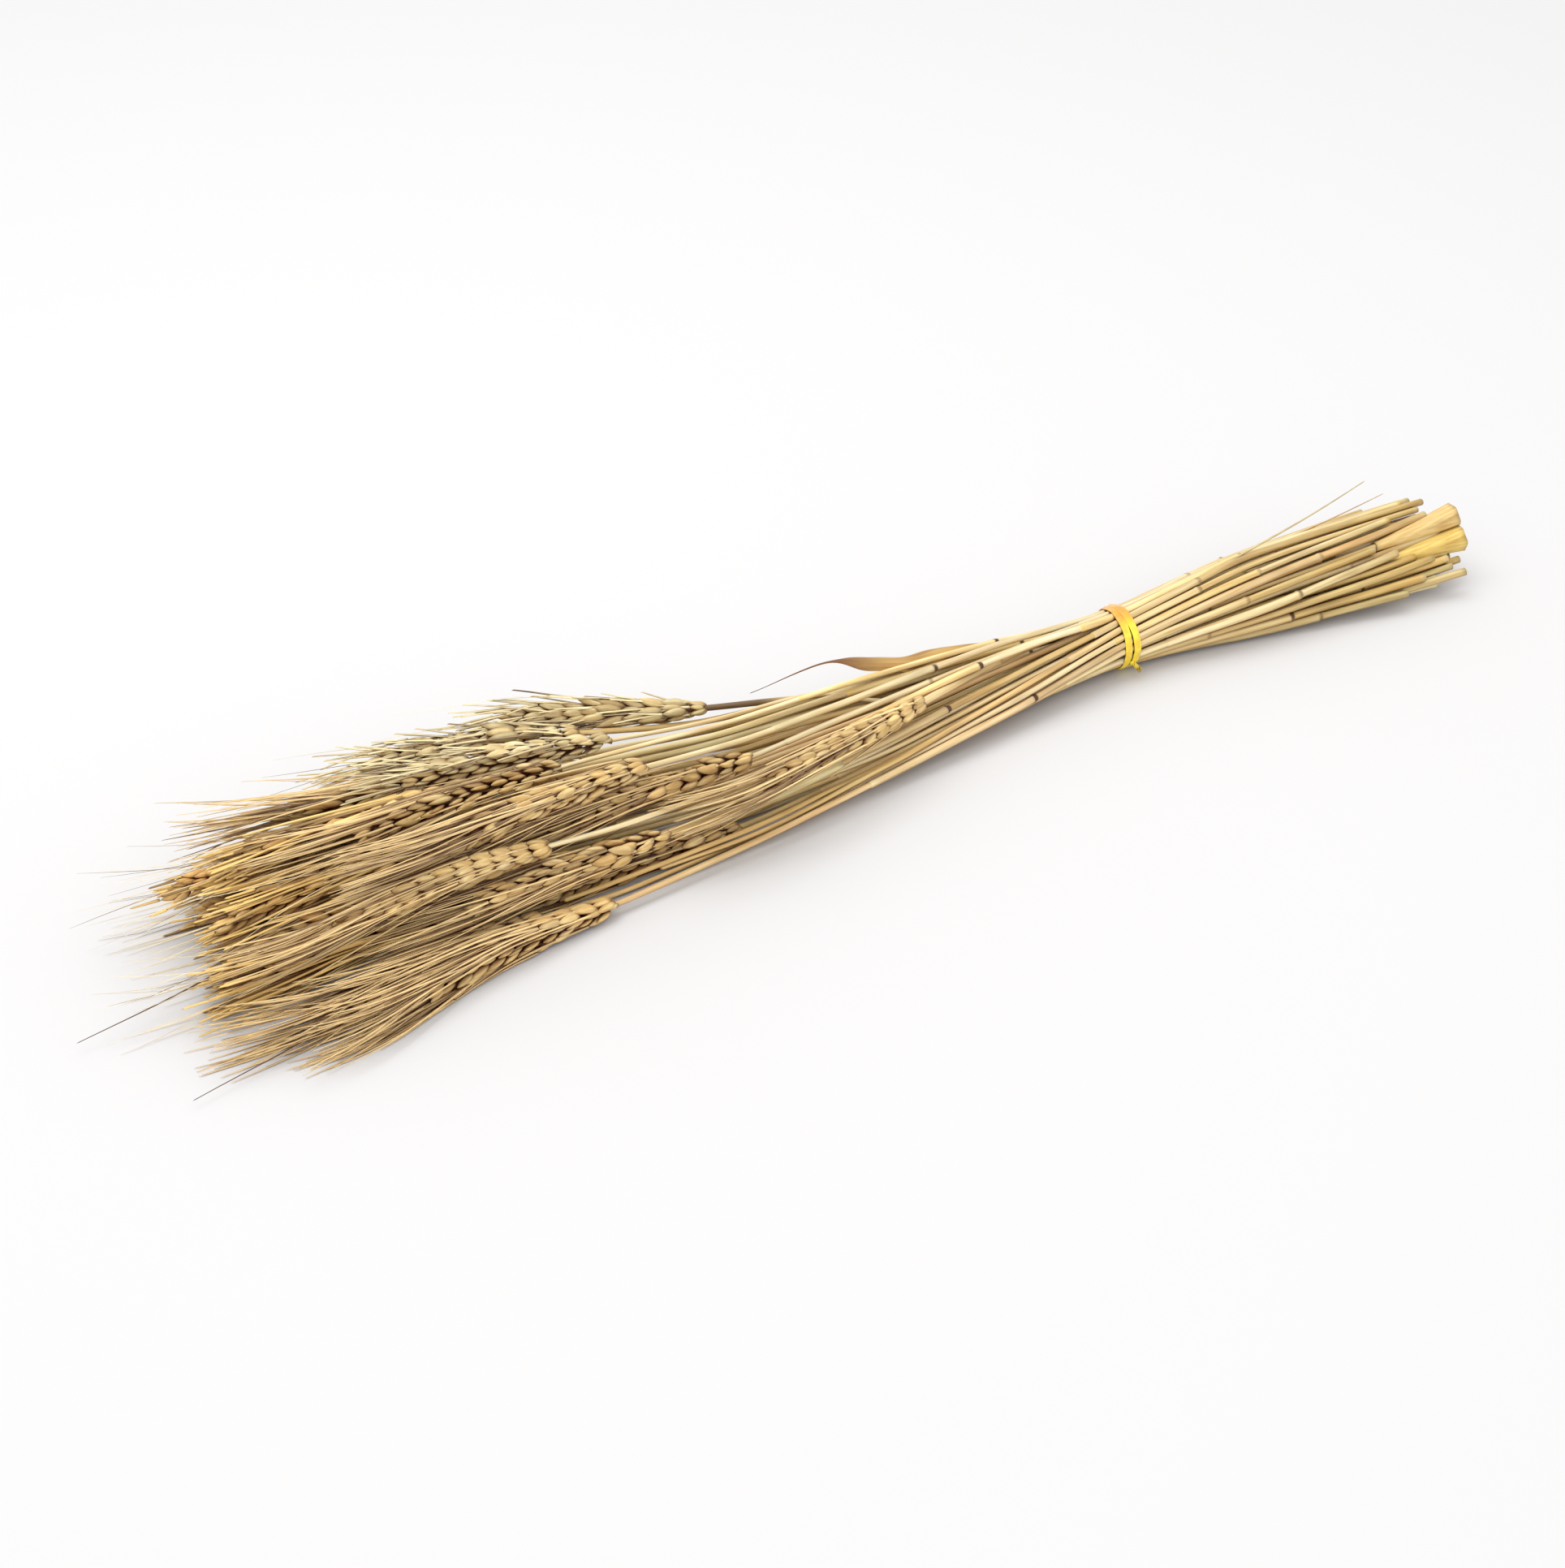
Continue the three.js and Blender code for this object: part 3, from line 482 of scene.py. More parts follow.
@dataclass(frozen=True)
class Straw:
    """The hollow straw: a tube that thins to the ear, with knots, leaf sheaths and an open cut end."""

    sides: int = 14
    step: float = 3.0 * MM
    first_ring: float = 0.35 * MM
    into_ear: float = 3.0 * MM
    radius_at_cut: float = 1.5 * MM
    thinning: float = 0.55 / 420
    thickness: Span = (-0.2, 0.1)
    oval: float = 0.05
    wander: float = 0.07 * MM
    wander_lengths: Span = (45.0 * MM, 80.0 * MM)
    bore_share: float = 0.7
    bore_rings: tuple[float, ...] = (9.0 * MM, 3.6 * MM, 0.3 * MM)
    bore_shade: float = 0.6
    cut_pale: Span = (1.0 * MM, 3.0 * MM)
    knot_swell: float = 0.22
    knot_length: float = 1.1 * MM
    knot_reach: float = 2.2
    knot_rings: int = 9
    ring_length: float = 1.0 * MM
    ring_stain: Span = (0.2, 1.7)
    ring_uneven: float = 0.25
    sheath_swell: float = 0.16
    sheath_lap: float = 0.14
    lap_turning: float = 900.0
    sheath_lengths: Span = (45.0 * MM, 95.0 * MM)
    sheath_edge: Span = (-0.2 * MM, 0.1 * MM)
    sheath_pale: float = 0.35
    edge_pale: float = 0.5
    edge_length: float = 1.5 * MM
    sheath_tones: tuple[Tone, ...] = (Tone.PALE, Tone.PALE, Tone.OLIVE, Tone.YELLOW)
    patch_length: float = 45.0 * MM
    patch_share: Span = (0.0, 0.6)
    patch_light: Span = (0.88, 1.08)
    patch_tones: tuple[Tone, ...] = (Tone.GOLDEN, Tone.PALE, Tone.OLIVE, Tone.ROSY, Tone.OLIVE)
    light: Span = (0.8, 1.08)
    pattern_shift: float = 5.0
    neck_stain: float = 0.0
    neck_length: float = 38.0 * MM
    butt_length: float = 120.0 * MM

    UNDERSIDE_SHADE = "#d9bc8c"
    BUTT_TINT = "#e7e2ce"

    def _patches(self, distance: Array, tone: Tone, random: Random) -> Array:
        """Lets the colour drift along the straw, from one patch to the next.

        Args:
            distance: how far along the straw each ring is.
            tone: the straw's own colour.
            random: the stalk's own draws.

        Returns:
            A colour for each ring.
        """
        stops = np.arange(0, distance.max() + 2 * self.patch_length, self.patch_length)
        size = (len(stops), 1)
        others = picked(self.patch_tones, len(stops), random)
        colours = blend(tone.colour, others, random.uniform(*self.patch_share, size))
        return between(distance, stops, colours * random.uniform(*self.patch_light, size))

    def shell(self, course: Course, tone: Tone, random: Random) -> Shell:
        """Carries a ring along the stalk's line.

        The radius is the even taper, times 1 plus a bell at each knot, times a step up over each sheath,
        whose lap makes it wider one way round. The bore runs back inside from the cut.

        Args:
            course: where the stalk runs.
            tone: its colours.
            random: the stalk's own draws.

        Returns:
            The straw's shell.
        """
        end = min(course.ear_base + self.into_ear, course.reach)
        sheaths = [(knot, knot + random.uniform(*self.sheath_lengths)) for knot in course.knots]
        sheath_tone = self.sheath_tones[random.integers(len(self.sheath_tones))]
        by_knot = self.knot_length * np.linspace(-self.knot_reach, self.knot_reach, self.knot_rings)
        extra = [knot + by_knot for knot, _ in sheaths]
        extra += [stop + np.array(self.sheath_edge) for _, stop in sheaths]
        outside = np.unique(np.concatenate([np.arange(0, end, self.step), [end], *extra]))
        outside = outside[(outside > self.first_ring) & (outside <= end)]
        distance = np.concatenate([self.bore_rings, [0.0], outside])
        is_bore = np.arange(len(distance)) < len(self.bore_rings)
        radius = self.radius_at_cut - self.thinning * distance
        radius *= 1 + random.uniform(*self.thickness)
        radius = np.where(is_bore, radius * self.bore_share, radius)
        angle = bearings(self.sides)
        radius = radius[:, None] * (1 + self.oval * np.cos(2 * (angle - random.uniform(0, math.pi))))
        # Painted shade: the bore inside the cut end is darkened, where light does not reach into the hollow
        # straw.
        stain = np.where(is_bore, self.bore_shade, 0.0)[:, None]
        pale = np.where(is_bore, 0.0, 1 - smoothstep(*self.cut_pale, distance))[:, None]
        for knot, stop in sheaths:
            bell = np.exp(-(((distance - knot) / self.knot_length) ** 2))
            radius = radius * (1 + self.knot_swell * bell[:, None])
            ring = np.exp(-(((distance - knot) / self.ring_length) ** 4))[:, None]
            ring = ring * random.uniform(*self.ring_stain)
            stain = stain + ring * (1 - self.ring_uneven * (1 - np.cos(angle - random.uniform(0, 6))))
            on = ((distance > knot) & (distance < stop) & ~is_bore)[:, None]
            lap = (angle + knot * self.lap_turning) % TURN / TURN - 0.5
            radius = np.where(on, radius * (1 + self.sheath_swell + self.sheath_lap * lap), radius)
            edge = np.exp(-np.abs(distance - stop) / self.edge_length)[:, None]
            pale = np.where(on, np.maximum(pale, self.sheath_pale + self.edge_pale * edge), pale)
        middle, basis = course.line.place(distance)
        phase = random.uniform(0, TURN, 2)
        sway = np.sin(distance[:, None] / random.uniform(*self.wander_lengths, 2) * TURN + phase)
        middle = moved(middle, basis, self.wander * sway)
        offset = radius[..., None] * circle(angle)
        grown = unbent(distance[:, None], offset) + [random.uniform(0, self.pattern_shift), 0, 0]
        tint = blend(self._patches(distance, tone, random)[:, None], sheath_tone.colour, pale[..., None])
        # Painted shade: the lower side of each straw is darker and browner, as if light came from above.
        facing_down = np.maximum(-np.sin(angle), 0)[:, None]
        tint = tint * blend(1, linear(self.UNDERSIDE_SHADE), facing_down) * random.uniform(*self.light)
        near_cut = np.interp(distance, [0, self.butt_length], [1, 0])[:, None, None]
        neck = smoothstep(*(course.ear_base - self.neck_length * np.array([1, 0.5])), distance)
        return lofted(
            moved(middle[:, None], basis[:, None], offset),
            first=middle[0],
            last=middle[-1] + basis[-1, 0] * MM,
            finish=Part.STRAW.value,
            tint=tint * blend(1, linear(self.BUTT_TINT), near_cut),
            stain=np.clip(stain + self.neck_stain * neck[:, None], 0, 1),
            grown=grown,
        )


@dataclass(frozen=True)
class Scale:
    """One scale of a spikelet, a glume or the lemma of a floret: a keeled boat with a pointed tip."""

    length: float
    half_width: float
    half_depth: float
    root: Place
    tilt_out: float
    tilt_side: float
    awned: float = 0.0
    widest: float = 0.8
    fullness: float = 0.62
    keel: float = 0.35
    curl: float = 0.45

    END_RING = 0.35

    def boat(self, rings: int, sides: int) -> tuple[Array, Array]:
        """Works out the boat along its own forward, side and out directions, with its root at 0.

        At share u of the length its half width is the greatest one times sin(pi u^widest)^fullness, and
        its outer side is drawn out to a keel by the fourth power of the sine round the ring.

        Args:
            rings: how many rings it has.
            sides: how many corners a ring has.

        Returns:
            Corners as (ring, corner, forward side out), and the share u of each ring.
        """
        share = (np.arange(rings) + self.END_RING) / (rings - 1 + 2 * self.END_RING)
        swell = np.sin(math.pi * share**self.widest)[:, None] ** self.fullness
        angle = bearings(sides)
        keel = 1 + self.keel * np.maximum(np.sin(angle), 0) ** 4
        side = self.half_width * swell * np.cos(angle)
        out = self.half_depth * swell * np.sin(angle) * keel
        return unbent((self.length * share)[:, None], np.stack([side, out], axis=-1)), share


@dataclass(frozen=True)
class Awns:
    """The bristles of an ear: stiff, three-sided, and thinner than a pin at the tip.

    Where the ears reach furthest, most awns are broken off level and leave a ragged brush; those of the
    ears at the back are broken short. Awns that are whole there are fine and pale.
    """

    rings: int = 9
    root_radius: float = 0.55 * MM
    tip_radius: float = 0.11 * MM
    taper: float = 0.7
    broken_taper: float = 0.5
    brush_x: float = -0.242
    brush_slope: float = 0.577
    brush_spread: float = 6.0 * MM
    broken: float = 0.8
    short_length: Span = (10.0 * MM, 26.0 * MM)
    short: float = 0.8
    stub_length: Span = (5.0 * MM, 11.0 * MM)
    broken_thickness: float = 1.3
    fine_thickness: float = 0.36
    fine_spread: float = 2.2
    least: float = 34.0 * MM
    usual: Span = (58.0 * MM, 82.0 * MM)
    growth_at: tuple[float, ...] = (0.0, 0.3, 1.0)
    growth: tuple[float, ...] = (0.66, 0.95, 1.0)
    room_share: Span = (0.8, 1.0)
    spread: Span = (0.0, 0.13)
    veer: float = 0.8
    bow: Span = (0.8, 1.5)
    end_margin: float = 2.0 * MM
    floor: float = 0.35 * MM
    light: Span = (0.84, 1.3)
    lighter_share: float = 0.4
    fine_lighter_share: float = 0.9
    dark_share: float = 0.1
    dark_stain: float = 0.7
    tip_stain: float = 0.1

    LIGHTER = {Tone.ORANGE: Tone.YELLOW, Tone.OLIVE: Tone.PALE}

    def shell(
        self, course: Course, tone: Tone, random: Random, start: Array, start_at: Array, share: Array
    ) -> Shell:
        """Runs an awn on from the tip of each lemma.

        Its place is the stalk's line plus an offset. The offset goes from that of the lemma's tip to one
        further out, so an ear's awns fan a little and follow the way the stalk bends.

        Args:
            course: where the stalk runs.
            tone: its colours.
            random: the stalk's own draws.
            start: the tips of the lemmas.
            start_at: how far along the line their spikelets root.
            share: how far up the ear they grow, from 0 to 1.

        Returns:
            The shell of all these awns.
        """
        count = len(start)
        root, basis = course.line.place(start_at)
        first_at = start_at + np.sum((start - root) * basis[:, 0], axis=1)
        first, basis = course.line.place(first_at)
        first_offset = np.einsum("nx,nkx->nk", start - first, basis[:, 1:])
        length = random.uniform(*self.usual, count) * np.interp(share, self.growth_at, self.growth)
        room = np.maximum(course.reach - self.end_margin - first_at, self.least)
        length = np.minimum(length, room * random.uniform(*self.room_share, count))
        thickness = np.ones(count)
        is_broken = np.zeros(count, bool)
        if tone is Tone.ORANGE:
            brush = self.brush_x + self.brush_slope * start[:, 1]
            to_brush = start[:, 0] - brush + random.normal(0, self.brush_spread, count)
            is_broken = random.random(count) < self.broken
            stub = random.uniform(*self.stub_length, count)
            length = np.where(is_broken, np.clip(to_brush, stub, room), length)
            thickness = np.where(is_broken, self.broken_thickness, self.fine_thickness)
        if tone is Tone.OLIVE:
            is_broken = random.random(count) < self.short
            length = np.where(is_broken, random.uniform(*self.short_length, count), length)
            thickness = np.where(is_broken, 1.0, self.fine_thickness)
        is_fine = thickness == self.fine_thickness
        push = length * random.uniform(*self.spread, count) * np.where(is_fine, self.fine_spread, 1.0)
        outward = np.arctan2(first_offset[:, 1], first_offset[:, 0])
        outward = push[:, None] * circle(outward + random.normal(0, self.veer, count))
        t = np.linspace(0, 1, self.rings)
        bowed = t ** random.uniform(*self.bow, count)[:, None]
        offset = first_offset[:, None] + bowed[..., None] * outward[:, None]
        middle, basis = course.line.place(first_at[:, None] + length[:, None] * t)
        centre = moved(middle, basis, offset)
        centre[..., 2] = np.maximum(centre[..., 2], self.floor)
        thinned = np.where(is_broken[:, None], self.broken_taper * t, 1 - (1 - t) ** self.taper)
        radius = thickness[:, None] * blend(self.root_radius, self.tip_radius, thinned)
        around = radius[..., None, None] * circle(bearings(3))
        light = random.uniform(*self.light, (count, 1, 1, 1))
        dark = (random.random(count) < self.dark_share)[:, None, None] * self.dark_stain
        is_fine = is_fine[:, None, None, None]
        lighter = np.where(is_fine, Tone.PALE.colour, self.LIGHTER.get(tone, Tone.SAND).colour)
        lighter_share = np.where(is_fine, self.fine_lighter_share, self.lighter_share)
        return lofted(
            moved(centre[:, :, None], basis[:, :, None], around),
            first=start,
            last=centre[:, -1] + basis[:, -1, 0] * MM,
            finish=Part.AWN.value,
            tint=blend(tone.colour, lighter, lighter_share) * light,
            stain=np.clip(self.tip_stain * t[:, None] + dark, 0, 1),
        )


@dataclass(frozen=True)
class Ear:
    """The ear: a zigzag stem with two rows of spikelets, each of two glumes and three florets."""

    spikelets: int = 21
    rings: int = 7
    sides: int = 8
    stem_radius: float = 0.85 * MM
    stem_stain: float = 0.3
    zigzag: float = 0.7 * MM
    last_root: float = 9.5 * MM
    growth_at: tuple[float, ...] = (0.0, 0.22, 0.75, 1.0)
    growth: tuple[float, ...] = (0.74, 1.0, 1.0, 0.8)
    jitter: float = 0.13
    turn_jitter: float = 0.07
    tilt_jitter: float = 0.07
    tip_length: float = 1.02
    light: Span = (0.8, 1.12)
    mixing: Span = (0.0, 0.4)
    root_stain: float = 0.95
    root_stained: Span = (0.0, 0.36)
    tip_stain: float = 0.4
    tip_stained: Span = (0.85, 1.0)
    pattern_step: float = 20.0 * MM
    awns: Awns = Awns()
    awns_each: int = 1
    tone: Tone | None = None
    scales: tuple[Scale, ...] = (
        Scale(9.0 * MM, 1.75 * MM, 1.0 * MM, (0.0, 1.3 * MM, 0.6 * MM), 0.18, 0.27),
        Scale(9.0 * MM, 1.75 * MM, 1.0 * MM, (0.0, -1.3 * MM, 0.6 * MM), 0.18, -0.27),
        Scale(11.0 * MM, 1.75 * MM, 1.4 * MM, (1.2 * MM, 1.0 * MM, 1.4 * MM), 0.31, 0.22, awned=0.95),
        Scale(11.0 * MM, 1.75 * MM, 1.4 * MM, (1.2 * MM, -1.0 * MM, 1.4 * MM), 0.31, -0.22, awned=0.95),
        Scale(9.8 * MM, 1.7 * MM, 1.4 * MM, (2.6 * MM, 0.0, 2.0 * MM), 0.3, 0.0, awned=0.9),
    )

    MIXED_IN = (Tone.PALE, Tone.OLIVE, Tone.ROSY, Tone.GOLDEN)

    def shells(self, course: Course, tone: Tone, random: Random) -> list[Shell]:
        """Builds the stem, the scales of every spikelet, and their awns.

        Args:
            course: where the stalk runs.
            tone: its colours.
            random: the stalk's own draws.

        Returns:
            The shells of the ear.
        """
        count = self.spikelets
        order = np.arange(count)
        share = order / (count - 1)
        root_at = blend(course.ear_base, course.ear_tip - self.last_root, share)
        bearing = course.row_bearing + math.pi * (order % 2) + random.normal(0, self.turn_jitter, count)
        bearing[-1] += math.pi / 2
        middle, basis = course.line.place(root_at)
        forward, side, up = basis[:, 0], basis[:, 1], basis[:, 2]
        # A bearing is measured in the plane of +Y and +Z, which side and up nearly are.
        out = np.cos(bearing)[:, None] * side * np.sign(side[:, 1:2]) + np.sin(bearing)[:, None] * up
        across = np.cross(out, forward)
        own = np.stack([forward, across, out], axis=1)
        size = np.interp(share, self.growth_at, self.growth) * (1 + random.normal(0, self.jitter, count))
        size = size[:, None]
        pattern_at = np.stack([root_at, order * self.pattern_step, 0 * share], axis=1)
        shells = [self._stem(course, middle, out)]
        for scale in self.scales:
            tilt_out = scale.tilt_out + random.normal(0, self.tilt_jitter, count)
            tilt_side = scale.tilt_side + random.normal(0, self.tilt_jitter, count)
            axis = unit(forward + np.tan(tilt_out)[:, None] * out + np.tan(tilt_side)[:, None] * across)
            outer = unit(out - np.sum(out * axis, axis=1)[:, None] * axis)
            frames = np.stack([axis, np.cross(outer, axis), outer], axis=1)
            root = middle + np.array(scale.root) @ own * size
            boat, along = scale.boat(self.rings, self.sides)
            curled = np.array([0, 0, scale.curl * scale.length * abs(scale.tilt_out)])
            bent = boat - curled * (along**2)[:, None, None]
            tip = root + ([scale.length * self.tip_length, 0, 0] - curled) @ frames * size
            light = random.uniform(*self.light, (count, 1, 1, 1))
            other = picked(self.MIXED_IN, count, random)[:, None, None]
            mixed = blend(tone.colour, other, random.uniform(*self.mixing, (count, 1, 1, 1)))
            # Painted shade darkens each scale's root, in the crease where it tucks under its neighbour; the
            # tips are stained brown.
            stain = self.root_stain * (1 - smoothstep(*self.root_stained, along))
            stain += self.tip_stain * smoothstep(*self.tip_stained, along)
            scales = lofted(
                root[:, None, None] + bent @ frames[:, None] * size[:, None, None],
                first=root,
                last=tip,
                finish=Part.CHAFF.value,
                tint=mixed * light,
                stain=stain[:, None],
                grown=boat + pattern_at[:, None, None],
            )
            shells.append(scales)
            awned = np.repeat(np.flatnonzero(random.random(count) < scale.awned), self.awns_each)
            if len(awned):
                places = tip[awned], root_at[awned], share[awned]
                shells.append(self.awns.shell(course, tone, random, *places))
        return shells

    def _stem(self, course: Course, middle: Array, out: Array) -> Shell:
        """Runs a tube of six sides in a zigzag past the spikelets' roots.

        Args:
            course: where the stalk runs.
            middle: where the spikelets root.
            out: the direction in which each of them stands.

        Returns:
            The stem's shell.
        """
        knees = middle - out * self.zigzag
        centre = np.concatenate([middle[:1], knees])
        distance = np.concatenate([[course.ear_base], course.line.at_x(knees[:, 0])])
        _, basis = course.line.place(distance)
        return lofted(
            moved(centre[:, None], basis[:, None], self.stem_radius * circle(bearings(6))),
            first=centre[0] - basis[0, 0] * MM,
            last=centre[-1] + basis[-1, 0] * MM,
            finish=Part.STRAW.value,
            tint=Tone.BRONZE.colour,
            stain=self.stem_stain,
        )


@dataclass(frozen=True)
class DryLeaf:
    """The dry leaf at the top of the bundle: a thin blade that curls along its length."""

    corners: int = 12
    step: float = 1.6 * MM
    half_thickness: float = 0.16 * MM
    thinnest: float = 0.2
    cup: float = 0.42
    ripple: float = 0.25 * MM
    rippled_width: float = 3.0 * MM
    wavelength: float = 22.0 * MM
    widening: float = 1.6
    middle_bell: float = 6.0
    width_bell: float = 4.0
    root_before: float = 8.0 * MM
    root_width: float = 0.9 * MM
    least_width: float = 0.15 * MM
    tip_widths: Span = (0.9, 0.25)
    tip_rings: int = 6
    lowering: float = 2.2 * MM
    lowered: float = 20.0 * MM
    blade_x: float = 0.046
    whisker_x: float = 0.016
    whisker_start: Span = (8.0 * MM, -4.0 * MM)
    whisker_thinning: float = 0.6
    droop: float = 4.0 * MM
    droop_length: float = 38.0 * MM
    tip_stain: float = 0.9
    tip_stained: Span = (0.45, 0.7)
    root_stain: float = 0.5
    root_stained: Span = (0.3, 0.0)

    COLOUR = "#bd9a58"

    def shell(self, course: Course, random: Random) -> Shell:
        """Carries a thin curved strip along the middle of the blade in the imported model.

        The strip's section is an arc: across share w from -1 to 1, it rises by cup times the half width
        times 1 - w squared, and its edges ripple.

        Args:
            course: where the leaf's stalk runs, with the sections of its blade.
            random: the stalk's own draws.

        Returns:
            The leaf's shell.
        """
        places = course.far_section
        planes = np.unique(places[:, 0])[::-1]
        rows = [places[places[:, 0] == plane] for plane in planes]
        middle = softened(np.array([row.mean(axis=0) for row in rows]), self.middle_bell)
        half = np.array([np.ptp(row[:, 1]) for row in rows]) * self.widening / 2
        half = np.maximum(softened(half[:, None], self.width_bell)[:, 0], self.least_width)
        x = middle[:, 0]
        middle[:, 2] -= self.lowering * smoothstep(self.lowered, 0, np.abs(x - self.blade_x))
        middle[:, 2] -= self.droop * smoothstep(0, -self.droop_length, x - self.whisker_x)
        half *= 1 - self.whisker_thinning * smoothstep(*self.whisker_start, x - self.whisker_x)
        root, _ = course.line.place(course.line.at_x(planes[:1] + self.root_before))
        line = Line.through(np.concatenate([root, middle]))
        distance = np.arange(0, line.along[-1], self.step)
        point, basis = line.place(distance)
        half = np.interp(distance, line.along, np.concatenate([[self.root_width], half]))
        half[-self.tip_rings :] *= np.linspace(*self.tip_widths, self.tip_rings)
        half = half[:, None]
        across, face = both_faces(np.linspace(-1, 1, self.corners))
        rim = np.sqrt(np.maximum(1 - across**2, self.thinnest**2))
        phase = distance / self.wavelength * TURN + random.uniform(0, 6)
        wave = self.ripple * np.sin(phase)[:, None] * across**2
        rise = self.cup * half * (1 - across**2) + wave * (half / self.rippled_width)
        offset = np.stack([half * across, rise - face * rim * self.half_thickness], axis=-1)
        share = (distance / line.along[-1])[:, None]
        stain = self.tip_stain * smoothstep(*self.tip_stained, share)
        stain += self.root_stain * smoothstep(*self.root_stained, share)
        return lofted(
            moved(point[:, None], basis[:, None], offset),
            first=point[0],
            last=point[-1] + basis[-1, 0] * MM,
            finish=Part.CHAFF.value,
            tint=linear(self.COLOUR),
            stain=stain,
            grown=unbent(distance[:, None], offset),
        )


@dataclass(frozen=True)
class OpenSheath:
    """A dry leaf sheath that has sprung open: a thin sheet rolled most of the way round its straw."""

    start: float
    end: float
    radius_at_start: float = 3.4 * MM
    radius_at_end: float = 1.9 * MM
    opening: float = 1.5
    opens_to: float = 3.7
    slant: float = 2.5 * MM
    fray: float = 0.3 * MM
    flare: float = 0.9
    uneven: float = 0.05
    corners: int = 20
    rings: int = 16
    half_thickness: float = 0.14 * MM
    inner_shade: float = 0.1
    mouth_stain: float = 0.25
    tone: Tone = Tone.ORANGE

    def shell(self, course: Course, random: Random) -> Shell:
        """Carries an arc along the straw, where bearing 0 is to its side and a quarter turn is up.

        The arc's radius goes from that at the start to that at the end by the way to the power of flare.
        The mouth is cut at a slant: a line of the sheet begins later the nearer it is to the front.

        Args:
            course: where the straw runs.
            random: the stalk's own draws.

        Returns:
            The sheath's shell.
        """
        half = math.pi - self.opening / 2
        angle, face = both_faces(np.linspace(-half, half, self.corners) + self.opens_to + math.pi)
        t = np.linspace(0, 1, self.rings)[:, None]
        frayed = self.fray * np.sin(angle * 5 + random.uniform(0, 6))
        delay = (self.slant * (1 - np.cos(angle - self.opens_to)) / 2 + frayed) * (1 - t) ** 3
        distance = blend(self.start, self.end, t) + delay
        radius = blend(self.radius_at_start, self.radius_at_end, t**self.flare)
        radius = radius * (1 + self.uneven * np.sin(3 * angle + 4 * t)) + face * self.half_thickness
        offset = radius[..., None] * circle(angle)
        rings = moved(*course.line.place(distance), offset)
        return lofted(
            rings,
            first=rings[0, [0, -1]].mean(axis=0),
            last=rings[-1, [0, -1]].mean(axis=0),
            finish=Part.STRAW.value,
            tint=self.tone.colour,
            # Painted shade darkens the inner face of the rolled sheet; the first ring at the mouth is darker
            # too.
            stain=np.where(face < 0, self.inner_shade, 0.0) + self.mouth_stain * np.exp(-t * 40),
            grown=unbent(distance, offset),
        )


@dataclass(frozen=True)
class Fibre:
    """A thin fibre or side shoot that leaves a straw and bends away to its own tip."""

    leaves: float
    tip: Place
    from_ear: bool = False
    radius: float = 0.45 * MM
    tip_share: float = 0.33
    bend: float = 1.5
    rings: int = 24
    sides: int = 5
    tone: Tone = Tone.OLIVE
    stain: Span = (0.1, 0.4)

    def shell(self, course: Course, random: Random) -> Shell:
        """Carries a small ring along a curve beside the straw.

        At share t of the way the fibre lies beside the straw by t to the power of bend times the
        distance of its tip from the straw. Its radius falls evenly to a third at the tip.

        Args:
            course: where the straw runs.
            random: the stalk's own draws, which a fibre doesn't need.

        Returns:
            The fibre's shell.
        """
        t = np.linspace(0, 1, self.rings)
        leaves = self.leaves + (course.ear_base if self.from_ear else 0.0)
        stops = course.line.at_x(np.array([self.tip[0]]))
        beside, _ = course.line.place(stops)
        middle, _ = course.line.place(blend(leaves, stops, t))
        line = Line.through(middle + (self.tip - beside) * t[:, None] ** self.bend)
        centre, basis = line.place(line.along)
        radius = self.radius * blend(1, self.tip_share, t)
        around = radius[:, None, None] * circle(bearings(self.sides))
        return lofted(
            moved(centre[:, None], basis[:, None], around),
            first=centre[0],
            last=centre[-1] + basis[-1, 0] * MM,
            finish=Part.STRAW.value,
            tint=self.tone.colour,
            stain=blend(*self.stain, t)[:, None],
        )


